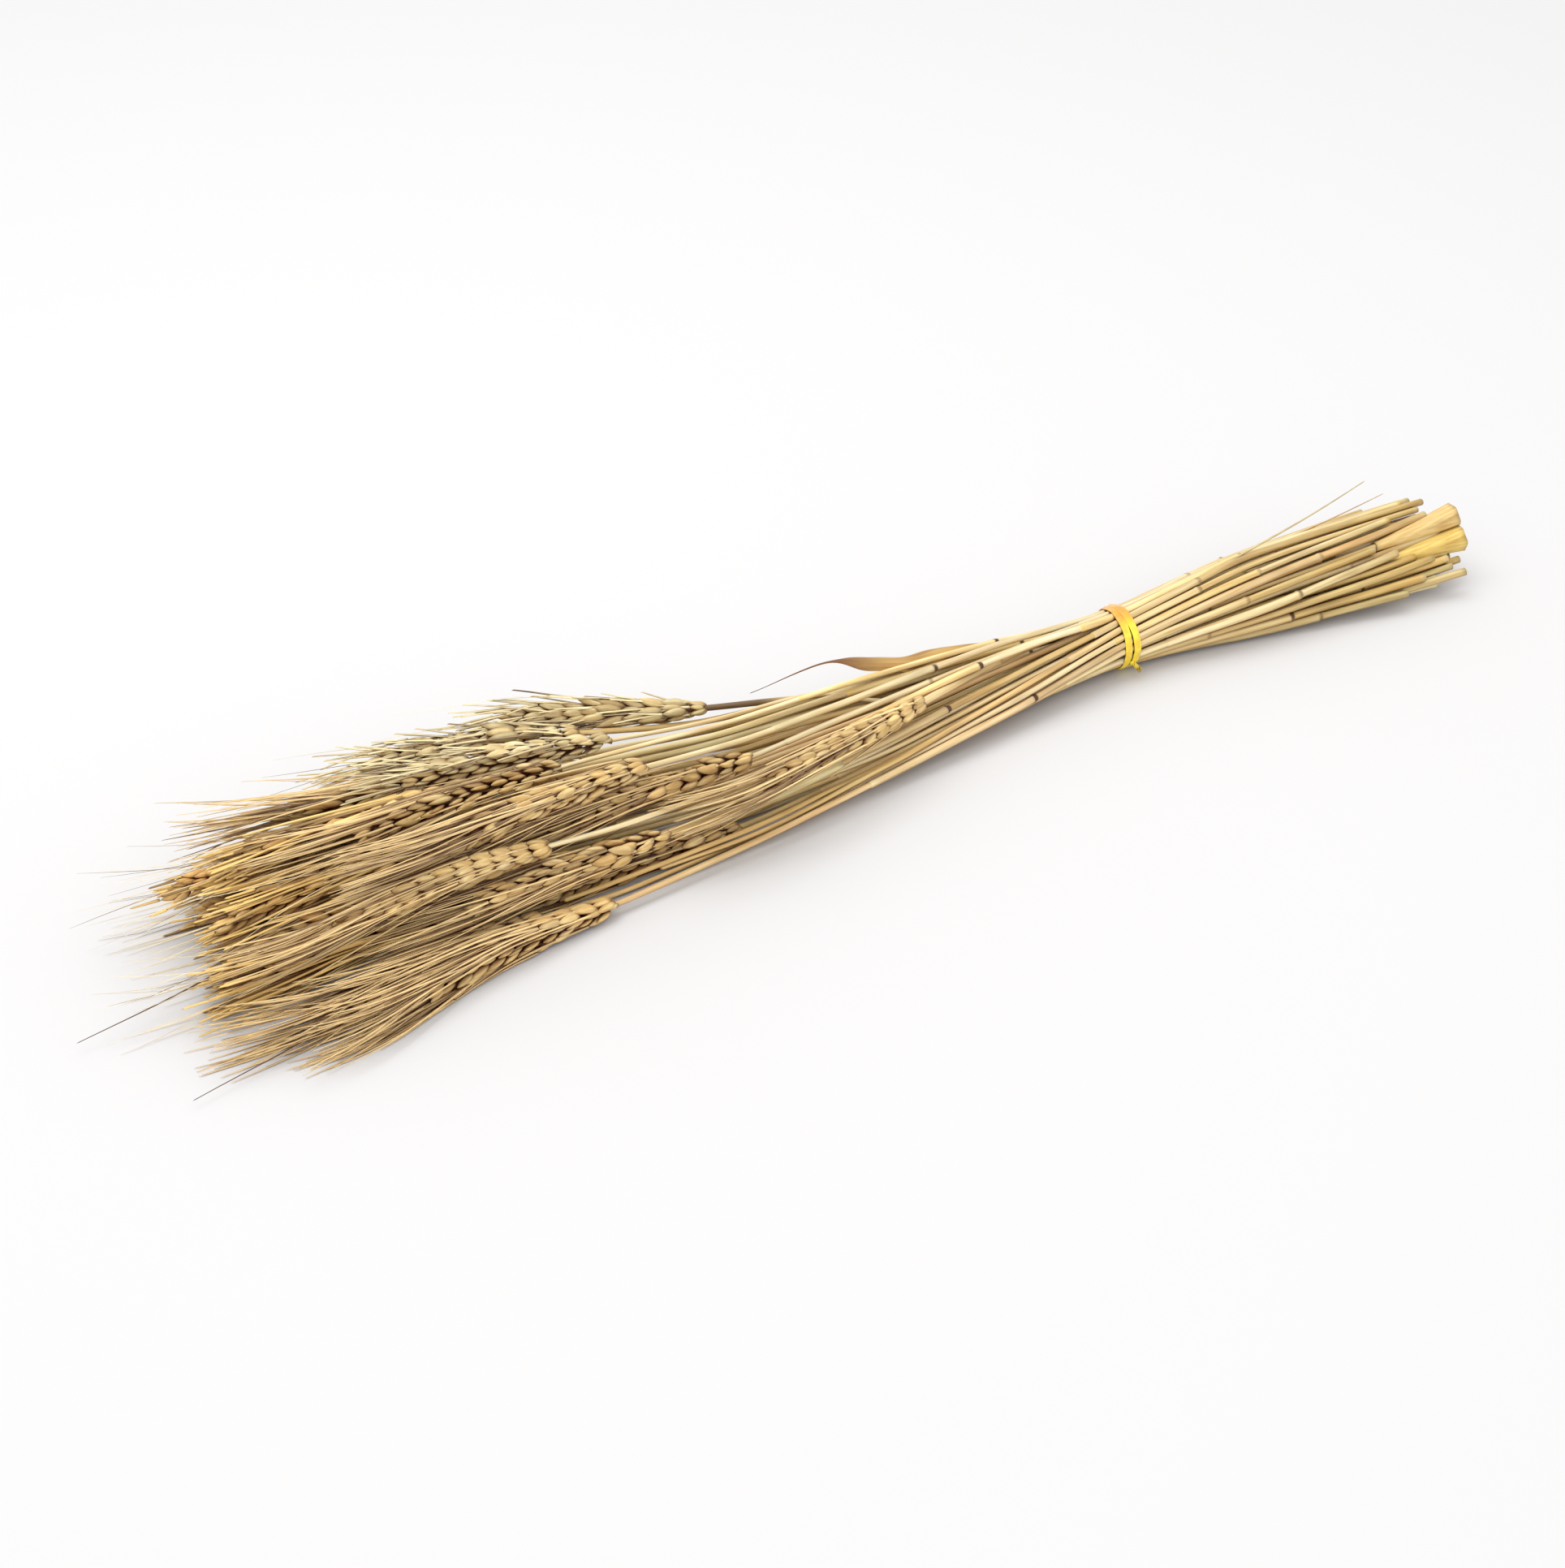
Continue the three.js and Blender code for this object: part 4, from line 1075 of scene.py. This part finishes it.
@dataclass(frozen=True)
class Stalk:
    """One stalk of the bundle: a straw with its ear and awns, or a loose straw that has lost its ear.

    Extras are the open sheaths, fibres and leaves that grow on some stalks only.
    """

    number: int
    has_ear: bool = True
    straw: Straw = Straw()
    ear: Ear = Ear()
    extras: tuple[DryLeaf | OpenSheath | Fibre, ...] = ()

    FLOOR = 0.12 * MM
    STRAW_TONES = (Tone.GOLDEN, Tone.PALE, Tone.OLIVE, Tone.ROSY)
    STRAW_TONE_SHARES = (0.4, 0.28, 0.17, 0.15)
    CHAFF_TONES = (Tone.GOLDEN, Tone.ROSY)
    CHAFF_TONE_SHARES = (0.65, 0.35)
    LEFT_CLUSTER_X = -0.178
    LEFT_CLUSTER_Y = -0.03
    BACK_Y = 0.04
    TOP_Y = 0.02
    TOP_Z = 0.03

    @property
    def name(self) -> str:
        """The name of the stalk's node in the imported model."""
        return f"{'stalk' if self.has_ear else 'straw'}_{self.number:02d}"

    def build(self, finishes: list[Material]) -> Piece:
        """Builds the stalk and sets it in place of its node.

        Args:
            finishes: the materials of straw, chaff and awns.

        Returns:
            The stalk's object.
        """
        random = np.random.default_rng(FIRST_SEED + self.number)
        course = Course.read(self.name, self.has_ear)
        straw_tone = self.STRAW_TONES[random.choice(len(self.STRAW_TONES), p=self.STRAW_TONE_SHARES)]
        shells = [self.straw.shell(course, straw_tone, random)]
        if self.has_ear:
            shells += self.ear.shells(course, self.ear.tone or self._chaff_tone(course, random), random)
        shells += [extra.shell(course, random) for extra in self.extras]
        shell = Shell.joined(shells)
        shell.corners[:, 2] = np.maximum(shell.corners[:, 2], self.FLOOR)
        piece = shown(f"wheat_{self.name}", shell, finishes)
        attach(piece, BODY)
        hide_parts(self.name)
        return piece

    def _chaff_tone(self, course: Course, random: Random) -> Tone:
        """Chooses how the ear dried: orange where the ears reach furthest, olive at the back and top.

        Args:
            course: where the stalk runs.
            random: the stalk's own draws.

        Returns:
            The tone of the ear.
        """
        ear, _ = course.line.place(np.array([(course.ear_base + course.ear_tip) / 2]))
        x, y, z = ear[0]
        if x < self.LEFT_CLUSTER_X and y > self.LEFT_CLUSTER_Y:
            return Tone.ORANGE
        if y > self.BACK_Y or (z > self.TOP_Z and y > self.TOP_Y):
            return Tone.OLIVE
        return self.CHAFF_TONES[random.choice(len(self.CHAFF_TONES), p=self.CHAFF_TONE_SHARES)]


@dataclass(frozen=True)
class TwistTie:
    """The tie: a flat plastic strip with a wire in it, wound twice round the straws and twisted shut."""

    turn_width: float = 3.1 * MM
    half_thickness: float = 0.24 * MM
    squareness: float = 0.6
    wire_rise: float = 0.34 * MM
    wire_width: float = 0.45 * MM
    gap_on_top: float = 1.2 * MM
    gap_in_front: float = 1.8 * MM
    sway: float = 0.25 * MM
    lift_on_top: float = 0.3 * MM
    wider_on_top: float = 0.2
    top: Span = (0.45, 0.95)
    top_turned: float = 0.2
    clearance: float = 0.3 * MM
    floor: float = 0.05 * MM
    steps: int = 150
    bell: float = 2.0
    sides: int = 20
    middle_before: float = 4.5 * MM
    tip_depth: float = 1.2 * MM
    twist_after: float = 0.5 * MM
    twist_turns: float = 1.0
    twist_share: float = 0.6
    twist_width: float = 1.9 * MM
    twist_rings: int = 26
    twist_apart: float = 0.34 * MM
    twist_flare: float = 0.5 * MM
    flared: Span = (0.75, 1.0)
    twist_shade: float = 0.75

    NODE = "tie"
    TOP_TINT = "#eeb478"

    def build(self, finish: Material, stalks: list[Piece]) -> Piece:
        """Builds the tie and sets it in place of its node.

        Args:
            finish: the strip's material.
            stalks: the objects that it is wound round.

        Returns:
            The tie's object.
        """
        places = corners_of(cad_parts[self.NODE].data)
        middle_x = places[:, 0].max() - self.middle_before
        outline, centre = self._outline(stalks, middle_x)
        tip = places[places[:, 1] < places[:, 1].min() + self.tip_depth].mean(axis=0)
        shells = [self._turn(outline, centre, middle_x, sign) for sign in (-1, 1)]
        shells += [self._twist(outline, tip, middle_x, phase) for phase in (0.0, math.pi)]
        shell = Shell.joined(shells)
        shell.corners[:, 2] = np.maximum(shell.corners[:, 2], self.floor)
        piece = shown("twist_tie", shell, [finish])
        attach(piece, BODY)
        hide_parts(self.NODE)
        return piece

    def _outline(self, stalks: list[Piece], middle_x: float) -> tuple[Array, Array]:
        """Works out the middle of the strip: the hull round the straws, moved out a little.

        The support h(a) is how far the straws reach towards the angle a. The hull's point there is h
        times that direction, plus the slope of h times the direction turned by a quarter.

        Args:
            stalks: the objects that it is wound round.
            middle_x: where along the bundle it is.

        Returns:
            The outline as (y, z), and its centre.
        """
        corners = np.concatenate([corners_of(stalk.data) for stalk in stalks])
        corners = corners[np.abs(corners[:, 0] - middle_x) < 1.5 * self.turn_width, 1:]
        centre = (corners.max(axis=0) + corners.min(axis=0)) / 2
        direction = circle(bearings(self.steps) - math.pi)
        support = ((corners - centre) @ direction.T).max(axis=0) + self.clearance
        margin = self.steps // 4
        support = np.concatenate([support[-margin:], support, support[:margin]])[:, None]
        support = softened(support, self.bell)[margin:-margin]
        slope = (np.roll(support, -1) - np.roll(support, 1)) / (2 * TURN / self.steps)
        turned = np.column_stack([-direction[:, 1], direction[:, 0]])
        return centre + support * direction + slope * turned, centre

    def _section(self, width: float) -> Array:
        """Works out the strip's section: a flat oval with the wire as a swelling in its middle.

        Args:
            width: how wide the strip is.

        Returns:
            The section's corners as (across, out).
        """
        around = circle(bearings(self.sides))
        across, rim = (np.sign(around) * np.abs(around) ** self.squareness).T
        across = across * width / 2
        wire = self.wire_rise * np.exp(-((across / self.wire_width) ** 2))
        return np.column_stack([across, rim * (self.half_thickness + wire)])

    def _turn(self, outline: Array, centre: Array, middle_x: float, sign: int) -> Shell:
        """Carries the strip's section once round the outline and closes it on itself.

        Args:
            outline: the middle of the strip as (y, z).
            centre: the centre of the outline.
            middle_x: where along the bundle the tie is.
            sign: 1 for the turn nearer to the cut ends, -1 for the other.

        Returns:
            The turn's shell.
        """
        across, out = self._section(self.turn_width).T
        angle = np.arctan2(outline[:, 1] - centre[1], outline[:, 0] - centre[0])
        gap = blend(self.gap_on_top, self.gap_in_front, (1 - np.cos(angle)) / 2)
        x = middle_x + sign * gap + self.sway * np.sin(angle * 2 + sign)
        tangent = unit(np.roll(outline, -1, axis=0) - np.roll(outline, 1, axis=0))
        normal = np.column_stack([tangent[:, 1], -tangent[:, 0]])[:, None]
        on_top = smoothstep(*self.top, np.sin(angle + self.top_turned))[:, None]
        ring_x = x[:, None] + across * (1 + self.wider_on_top * on_top)
        lift = self.lift_on_top * on_top * (sign > 0)
        ring_yz = outline[:, None] + (out + lift)[..., None] * normal
        rings = np.concatenate([ring_x[..., None], ring_yz], axis=-1)
        tint = blend(1, linear(self.TOP_TINT), on_top[..., None])
        return self._closed(lofted(rings, first=rings[0, 0], last=rings[-1, 0], tint=tint), len(outline))

    def _closed(self, shell: Shell, rings: int) -> Shell:
        """Joins the last ring of a tube to its first, in place of the two poles.

        Args:
            shell: the tube.
            rings: how many rings it has.

        Returns:
            The tube without ends.
        """
        kept = rings * self.sides
        end = kept - self.sides
        here = np.arange(self.sides)
        after = (here + 1) % self.sides
        quads = np.concatenate([shell.quads, np.stack([end + here, end + after, after, here], axis=-1)])
        return replace(
            shell,
            quads=quads,
            triangles=shell.triangles[:0],
            quad_finish=np.zeros(len(quads), int),
            triangle_finish=shell.triangle_finish[:0],
            **{name: getattr(shell, name)[:kept] for name in ("corners", "grown", "tint", "stain")},
        )

    def _twist(self, outline: Array, tip: Array, middle_x: float, phase: float) -> Shell:
        """Carries the strip's section on a helix round the line to the tip.

        Args:
            outline: the middle of the strip as (y, z).
            tip: where the twisted ends point.
            middle_x: where along the bundle the tie is.
            phase: where round the helix this end starts.

        Returns:
            The shell of one of the two ends.
        """
        root = outline[np.argmin(np.linalg.norm(outline - tip[1:], axis=1))]
        start = np.array([middle_x + self.twist_after, *root])
        axis = unit(tip - start)
        side = unit(np.cross([1.0, 0.0, 0.0], axis))
        t = np.linspace(0, 1, self.twist_rings)
        turn = circle(phase + t * self.twist_turns * TURN)
        out = turn @ np.stack([side, np.cross(axis, side)])
        flare = self.twist_apart + self.twist_flare * smoothstep(*self.flared, t)
        length = np.linalg.norm(tip - start) * self.twist_share
        centre = start + axis * (length * t)[:, None] + out * flare[:, None]
        directions = np.stack([np.cross(out, axis), out], axis=1)
        rings = centre[:, None] + self._section(self.twist_width) @ directions
        # Painted shade darkens each twisted end towards its tip, down under the bundle.
        return lofted(rings, first=centre[0], last=centre[-1], stain=self.twist_shade * t[:, None])


@dataclass(frozen=True)
class Nodes:
    """The node tree of one material, and the way a node is added to it."""

    material: Material

    @classmethod
    def named(cls, name: str) -> "Nodes":
        """Makes a material with an empty tree.

        Args:
            name: the material's name.

        Returns:
            Its tree.
        """
        material = bpy.data.materials.new(name)
        material.use_nodes = True
        material.node_tree.nodes.clear()
        return cls(material)

    def add(self, kind: str, settings: dict, output: int | str = 0, **links: object) -> object:
        """Adds a node with its settings and links.

        Args:
            kind: Blender's name of the node's type, after ShaderNode.
            settings: properties, or values of inputs where a key is an input's name or number.
            output: the name or number of the output that is wanted.
            links: an output socket for an input, named with _ for a space and before a number.

        Returns:
            The socket of that output, or None if the node has no outputs.
        """
        tree = self.material.node_tree
        node = tree.nodes.new("ShaderNode" + kind)
        for key, value in settings.items():
            if isinstance(key, str) and hasattr(node, key):
                setattr(node, key, value)
            else:
                node.inputs[key].default_value = value
        for key, socket in links.items():
            target = int(key[1:]) if key[1:].isdigit() else key.replace("_", " ")
            tree.links.new(socket, node.inputs[target])
        return node.outputs[output] if len(node.outputs) else None


@dataclass(frozen=True)
class DryPlantFinish:
    """A dry plant skin: its own tint, fine streaks along the way it grew, brown stains, painted shade where
    other surfaces are close, and a soft gloss.
    """

    name: str
    roughness: float
    streak: float
    rib_width: float
    rib_depth: float
    stain_and_shade_colour: str
    dark_colour: str
    painted_shade_colour: str
    gloss: float = 0.4
    ior: float = 1.5
    painted_shade_reach: float = 4.5 * MM
    painted_shade_from: float = 0.72

    RANGE = ("From Min", "From Max", "To Min", "To Max")

    def build(self) -> Material:
        """Makes the material.

        Streaks are noise on the coordinates in which the stalk is straight, drawn long along it. Ribs are
        finer noise of the same kind, and give the bump. Painted shade darkens the colour where other
        surfaces are close, where shade falls among the stalks.

        Returns:
            The Blender material.
        """
        nodes = Nodes.named(self.name)
        colour = nodes.add("Attribute", {"attribute_name": "tint"}, "Color")
        stain = nodes.add("Attribute", {"attribute_name": "stain"}, "Fac")
        grown = nodes.add("Attribute", {"attribute_name": "grown"}, "Vector")
        # Ambient occlusion: painted shade, deeper the closer other surfaces come.
        openness = nodes.add("AmbientOcclusion", {"samples": 6, "Distance": self.painted_shade_reach}, "AO")
        # How often streaks, blotches and ribs repeat in a metre, along and across, and their detail.
        per_rib = 1 / self.rib_width
        patterns = []
        for along, across, detail in ((40, 0.45 * per_rib, 4), (35, 160, 2), (25, per_rib, 1)):
            place = nodes.add("Mapping", {"Scale": (along, across, across)}, Vector=grown)
            patterns.append(nodes.add("TexNoise", {"Scale": 1, "Detail": detail}, "Fac", Vector=place))
        streaks, blotches, ribs = patterns
        # Between which values of its pattern each share rises, and from what to what.
        streak_share, blotch_share, painted_shade_share = (
            nodes.add("MapRange", dict(zip(self.RANGE, ends)), Value=pattern)
            for pattern, ends in (
                (streaks, (0.35, 0.72, 0.0, self.streak)),
                (blotches, (0.5, 0.8, 0.0, 0.35)),
                (openness, (0.15, self.painted_shade_from, 1.0, 0.0)),
            )
        )
        # Stains and painted shade from the mesh, with the blotches, mix in the same brown.
        stain = nodes.add("Math", {"operation": "ADD", "use_clamp": True}, _0=stain, _1=blotch_share)
        for way, code, share in (
            ("MULTIPLY", self.dark_colour, streak_share),
            ("MIX", self.stain_and_shade_colour, stain),
            ("MULTIPLY", self.painted_shade_colour, painted_shade_share),
        ):
            settings = {"data_type": "RGBA", "blend_type": way, 7: (*linear(code), 1)}
            colour = nodes.add("Mix", settings, 2, _0=share, _6=colour)
        bump = nodes.add("Bump", {"Strength": 0.6, "Distance": self.rib_depth}, Height=ribs)
        skin = {"Roughness": self.roughness, "Specular IOR Level": self.gloss, "IOR": self.ior}
        shader = nodes.add("BsdfPrincipled", skin, Base_Color=colour, Normal=bump)
        nodes.add("OutputMaterial", {}, Surface=shader)
        return nodes.material


@dataclass(frozen=True)
class StripFinish:
    """Yellow vinyl strip: smooth and glossy, in two yellows."""

    name: str = "yellow_vinyl"
    colour: str = "#f6dc30"
    shade: str = "#dca820"
    tail_shade: str = "#6a4a14"
    roughness: float = 0.28
    ior: float = 1.53
    coat: float = 0.4
    coat_roughness: float = 0.12
    blotch_size: float = 4.0 * MM
    blotch_from: Span = (0.4, 0.75)
    bump: float = 0.25
    bump_depth: float = 0.1 * MM

    def build(self) -> Material:
        """Makes the material: two yellows in soft blotches of about 4 mm, with painted shade where the mesh
        asks for it, under a clear gloss.

        Returns:
            The Blender material.
        """
        nodes = Nodes.named(self.name)
        tint = nodes.add("Attribute", {"attribute_name": "tint"}, "Color")
        stain = nodes.add("Attribute", {"attribute_name": "stain"}, "Fac")
        place = nodes.add("TexCoord", {}, "Object")
        noise = nodes.add("TexNoise", {"Scale": 1 / self.blotch_size, "Detail": 2}, "Fac", Vector=place)
        share = nodes.add("MapRange", dict(zip(DryPlantFinish.RANGE, self.blotch_from)), Value=noise)
        light, shade, tail_shade = ((*linear(code), 1) for code in (self.colour, self.shade, self.tail_shade))
        yellow = nodes.add("Mix", {"data_type": "RGBA", 6: light, 7: shade}, 2, _0=share)
        multiply = {"data_type": "RGBA", "blend_type": "MULTIPLY", 0: 1}
        tinted = nodes.add("Mix", multiply, 2, _6=yellow, _7=tint)
        with_tail_shade = nodes.add("Mix", {"data_type": "RGBA", 7: tail_shade}, 2, _0=stain, _6=tinted)
        bump = nodes.add("Bump", {"Strength": self.bump, "Distance": self.bump_depth}, Height=noise)
        gloss = {"Roughness": self.roughness, "IOR": self.ior}
        gloss |= {"Coat Weight": self.coat, "Coat Roughness": self.coat_roughness}
        shader = nodes.add("BsdfPrincipled", gloss, Base_Color=with_tail_shade, Normal=bump)
        nodes.add("OutputMaterial", {}, Surface=shader)
        return nodes.material


@dataclass(frozen=True)
class Studio:
    """A plain white floor, soft light and the camera of the photograph."""

    azimuth: float = -30.0
    elevation: float = 32.0
    distance: float = 1.3
    lens: float = 82.5
    sensor: float = 36.0
    target: Place = (-0.0311, -0.0116, 0.015)
    floor_half: float = 12.0
    floor_colour: str = "#cac9c9"
    floor_roughness: float = 0.95
    sky: float = 1.3
    key_power: float = 8.5
    key_place: Place = (-0.1, 0.42, 1.35)
    key_size: float = 1.1
    fill_power: float = 2.5
    fill_place: Place = (-0.4, -1.0, 0.9)
    fill_size: float = 1.2

    CORNERS = ((-1, -1), (1, -1), (1, 1), (-1, 1))

    def build(self) -> None:
        """Makes the floor, the lights and the camera."""
        scene = bpy.context.scene
        scene.view_settings.view_transform = "Standard"
        scene.world = bpy.data.worlds.new("soft_room")
        scene.world.use_nodes = True
        background = scene.world.node_tree.nodes["Background"]
        background.inputs["Color"].default_value = (1, 1, 1, 1)
        background.inputs["Strength"].default_value = self.sky
        mesh = bpy.data.meshes.new("floor")
        places = [(x * self.floor_half, y * self.floor_half, 0) for x, y in self.CORNERS]
        mesh.from_pydata(places, [], [(0, 1, 2, 3)])
        mesh.materials.append(self._paper())
        floor = bpy.data.objects.new("floor", mesh)
        scene.collection.objects.link(floor)
        self._light("key", self.key_power, self.key_place, self.key_size)
        self._light("fill", self.fill_power, self.fill_place, self.fill_size)
        lens = bpy.data.cameras.new("camera")
        lens.lens = self.lens
        lens.sensor_width = self.sensor
        camera = bpy.data.objects.new("camera", lens)
        scene.collection.objects.link(camera)
        azimuth, elevation = math.radians(self.azimuth), math.radians(self.elevation)
        level = math.cos(elevation)
        back = np.array([math.sin(azimuth) * level, -math.cos(azimuth) * level, math.sin(elevation)])
        camera.location = self.target + back * self.distance
        camera.rotation_euler = (math.pi / 2 - elevation, 0, azimuth)
        scene.camera = camera

    def _paper(self) -> Material:
        """Makes white seamless paper: matt, with no gloss.

        Returns:
            The Blender material.
        """
        material = bpy.data.materials.new("white_paper")
        material.use_nodes = True
        inputs = material.node_tree.nodes["Principled BSDF"].inputs
        inputs["Base Color"].default_value = (*linear(self.floor_colour), 1)
        inputs["Roughness"].default_value = self.floor_roughness
        inputs["Specular IOR Level"].default_value = 0
        return material

    def _light(self, name: str, power: float, place: Place, size: float) -> None:
        """Hangs a square soft light that points at the bundle.

        Args:
            name: the light's name.
            power: its power in watts.
            place: where it hangs.
            size: how wide it is.
        """
        light = bpy.data.lights.new(name, "AREA")
        light.energy = power
        light.size = size
        lamp = bpy.data.objects.new(name, light)
        bpy.context.scene.collection.objects.link(lamp)
        x, y, z = np.array(place) - self.target
        lamp.location = place
        lamp.rotation_euler = (math.atan2(math.hypot(x, y), z), 0, math.atan2(x, -y))


# Dry wheat straw has a waxy skin: pale, softly glossy, ribbed along its length about every 0.3 mm. The
# ribs are drawn at 0.45 mm, or they would be too fine to show.
STRAW_FINISH = DryPlantFinish(
    name="wheat_straw",
    roughness=0.5,
    streak=0.75,
    rib_width=0.45 * MM,
    rib_depth=0.12 * MM,
    stain_and_shade_colour="#4a2f1c",
    dark_colour="#d0b07a",
    painted_shade_colour="#6f4526",
    gloss=0.3,
    painted_shade_reach=2.4 * MM,
    painted_shade_from=0.52,
)
# Chaff is papery and matt, with veins from root to tip, and its painted shade where other surfaces are close
# is browner.
CHAFF_FINISH = DryPlantFinish(
    name="wheat_chaff",
    roughness=0.6,
    streak=0.85,
    rib_width=0.6 * MM,
    rib_depth=0.2 * MM,
    stain_and_shade_colour="#6b4526",
    dark_colour="#c09a68",
    painted_shade_colour="#86452c",
    gloss=0.3,
    painted_shade_from=0.66,
)
# Awns are hard bristles, straw coloured, browner at the tip.
AWN_FINISH = DryPlantFinish(
    name="wheat_awn",
    roughness=0.5,
    streak=0.4,
    rib_width=0.5 * MM,
    rib_depth=0.02 * MM,
    stain_and_shade_colour="#5b3a22",
    dark_colour="#c2a06c",
    painted_shade_colour="#743422",
)


# What grows on single stalks, by the stalk's number. Distances run from the cut end, or from the root of
# the ear for a fibre that grows there.
EXTRAS = {
    2: (
        Fibre(118 * MM, (0.2683, 0.0380, 0.0385), radius=0.6 * MM),
        OpenSheath(300 * MM, 345 * MM, 2.2 * MM, 1.6 * MM, tone=Tone.OLIVE),
    ),
    # Stalks 4 and 14 carry dark fibres that are painted shadow, lines along a shaded gap between ears.
    4: (Fibre(50 * MM, (-0.2818, -0.0667, 0.0030), radius=0.4 * MM, tone=Tone.DARK, from_ear=True),),
    5: (Fibre(70 * MM, (0.2690, 0.0270, 0.0375), tone=Tone.ROSY),),
    8: (DryLeaf(),),
    12: (OpenSheath(-4 * MM, 42 * MM, 5.4 * MM, opening=2.2, tone=Tone.HONEY),),
    14: (Fibre(60 * MM, (-0.3035, -0.0196, 0.0040), radius=0.4 * MM, tone=Tone.DARK, from_ear=True),),
    15: (OpenSheath(-9 * MM, 34 * MM, 5.4 * MM, opening=2.2, tone=Tone.GOLDEN),),
    22: (Fibre(40 * MM, (0.2980, 0.0180, 0.0250), radius=0.35 * MM),),
    28: (OpenSheath(1 * MM, 30 * MM, 2.6 * MM, 1.8 * MM, slant=2 * MM, tone=Tone.OLIVE),),
    29: (Fibre(30 * MM, (0.3010, 0.0150, 0.0060), radius=0.5 * MM, tone=Tone.PALE),),
    31: (OpenSheath(4 * MM, 44 * MM, 2.4 * MM, 1.8 * MM, slant=1 * MM, tone=Tone.PALE),),
}
# Straws that differ from the others, by the stalk's number: the neck of the rearmost ear has gone brown.
STRAWS = {9: Straw(neck_stain=0.85)}
# Low ears whose awns fan and cross, as in the photograph.
WIDE_EAR = Ear(awns=Awns(spread=(0.02, 0.2)), awns_each=2)
# Ears at the back, fluffy with short broken awns.
FLUFFY_EAR = Ear(awns=Awns(spread=(0.04, 0.3), fine_spread=0.5, short=0.95), awns_each=2)
# Ears that show a broad face: their scales are wider and fuller, and lie closely in two even rows.
BROAD_SCALES = tuple(
    replace(scale, half_width=1.22 * scale.half_width, fullness=0.52) for scale in Ear().scales
)
BROAD_EAR = Ear(spikelets=22, jitter=0.06, tilt_jitter=0.035, scales=BROAD_SCALES, tone=Tone.GOLDEN)
EARS = {
    1: replace(WIDE_EAR, tone=Tone.GOLDEN),
    2: Ear(tone=Tone.GOLDEN),
    3: BROAD_EAR,
    4: WIDE_EAR,
    5: Ear(tone=Tone.GOLDEN, awns_each=2),
    6: BROAD_EAR,
    15: Ear(tone=Tone.ORANGE, awns_each=2),
    # Stalk 17's ear is dark bronze as painted shade, under the ear above it.
    17: Ear(tone=Tone.BRONZE),
} | {number: FLUFFY_EAR for number in (8, 9, 10, 25, 28)}


def stalks() -> list[Stalk]:
    """Lists the stalks: those with ears, then the loose straws.

    Returns:
        All stalks, in the order of their numbers.
    """
    return [
        Stalk(
            number,
            has_ear=number <= STALK_COUNT,
            straw=STRAWS.get(number, Straw()),
            ear=EARS.get(number, Ear()),
            extras=EXTRAS.get(number, ()),
        )
        for number in range(1, STALK_COUNT + STRAW_COUNT + 1)
    ]


def main() -> None:
    """Builds the studio, the stalks and the tie, and reports each piece."""
    logging.basicConfig(level=logging.INFO, format="%(message)s")
    Studio().build()
    finishes = [finish.build() for finish in (STRAW_FINISH, CHAFF_FINISH, AWN_FINISH)]
    pieces = [stalk.build(finishes) for stalk in stalks()]
    pieces.append(TwistTie().build(StripFinish().build(), pieces))
    counts = [len(piece.data.loops) - 2 * len(piece.data.polygons) for piece in pieces]
    for piece, count in zip(pieces, counts):
        LOG.info("%s: %d triangles", piece.name, count)
    LOG.info("all pieces: %d triangles", sum(counts))


if __name__ == "__main__":
    main()
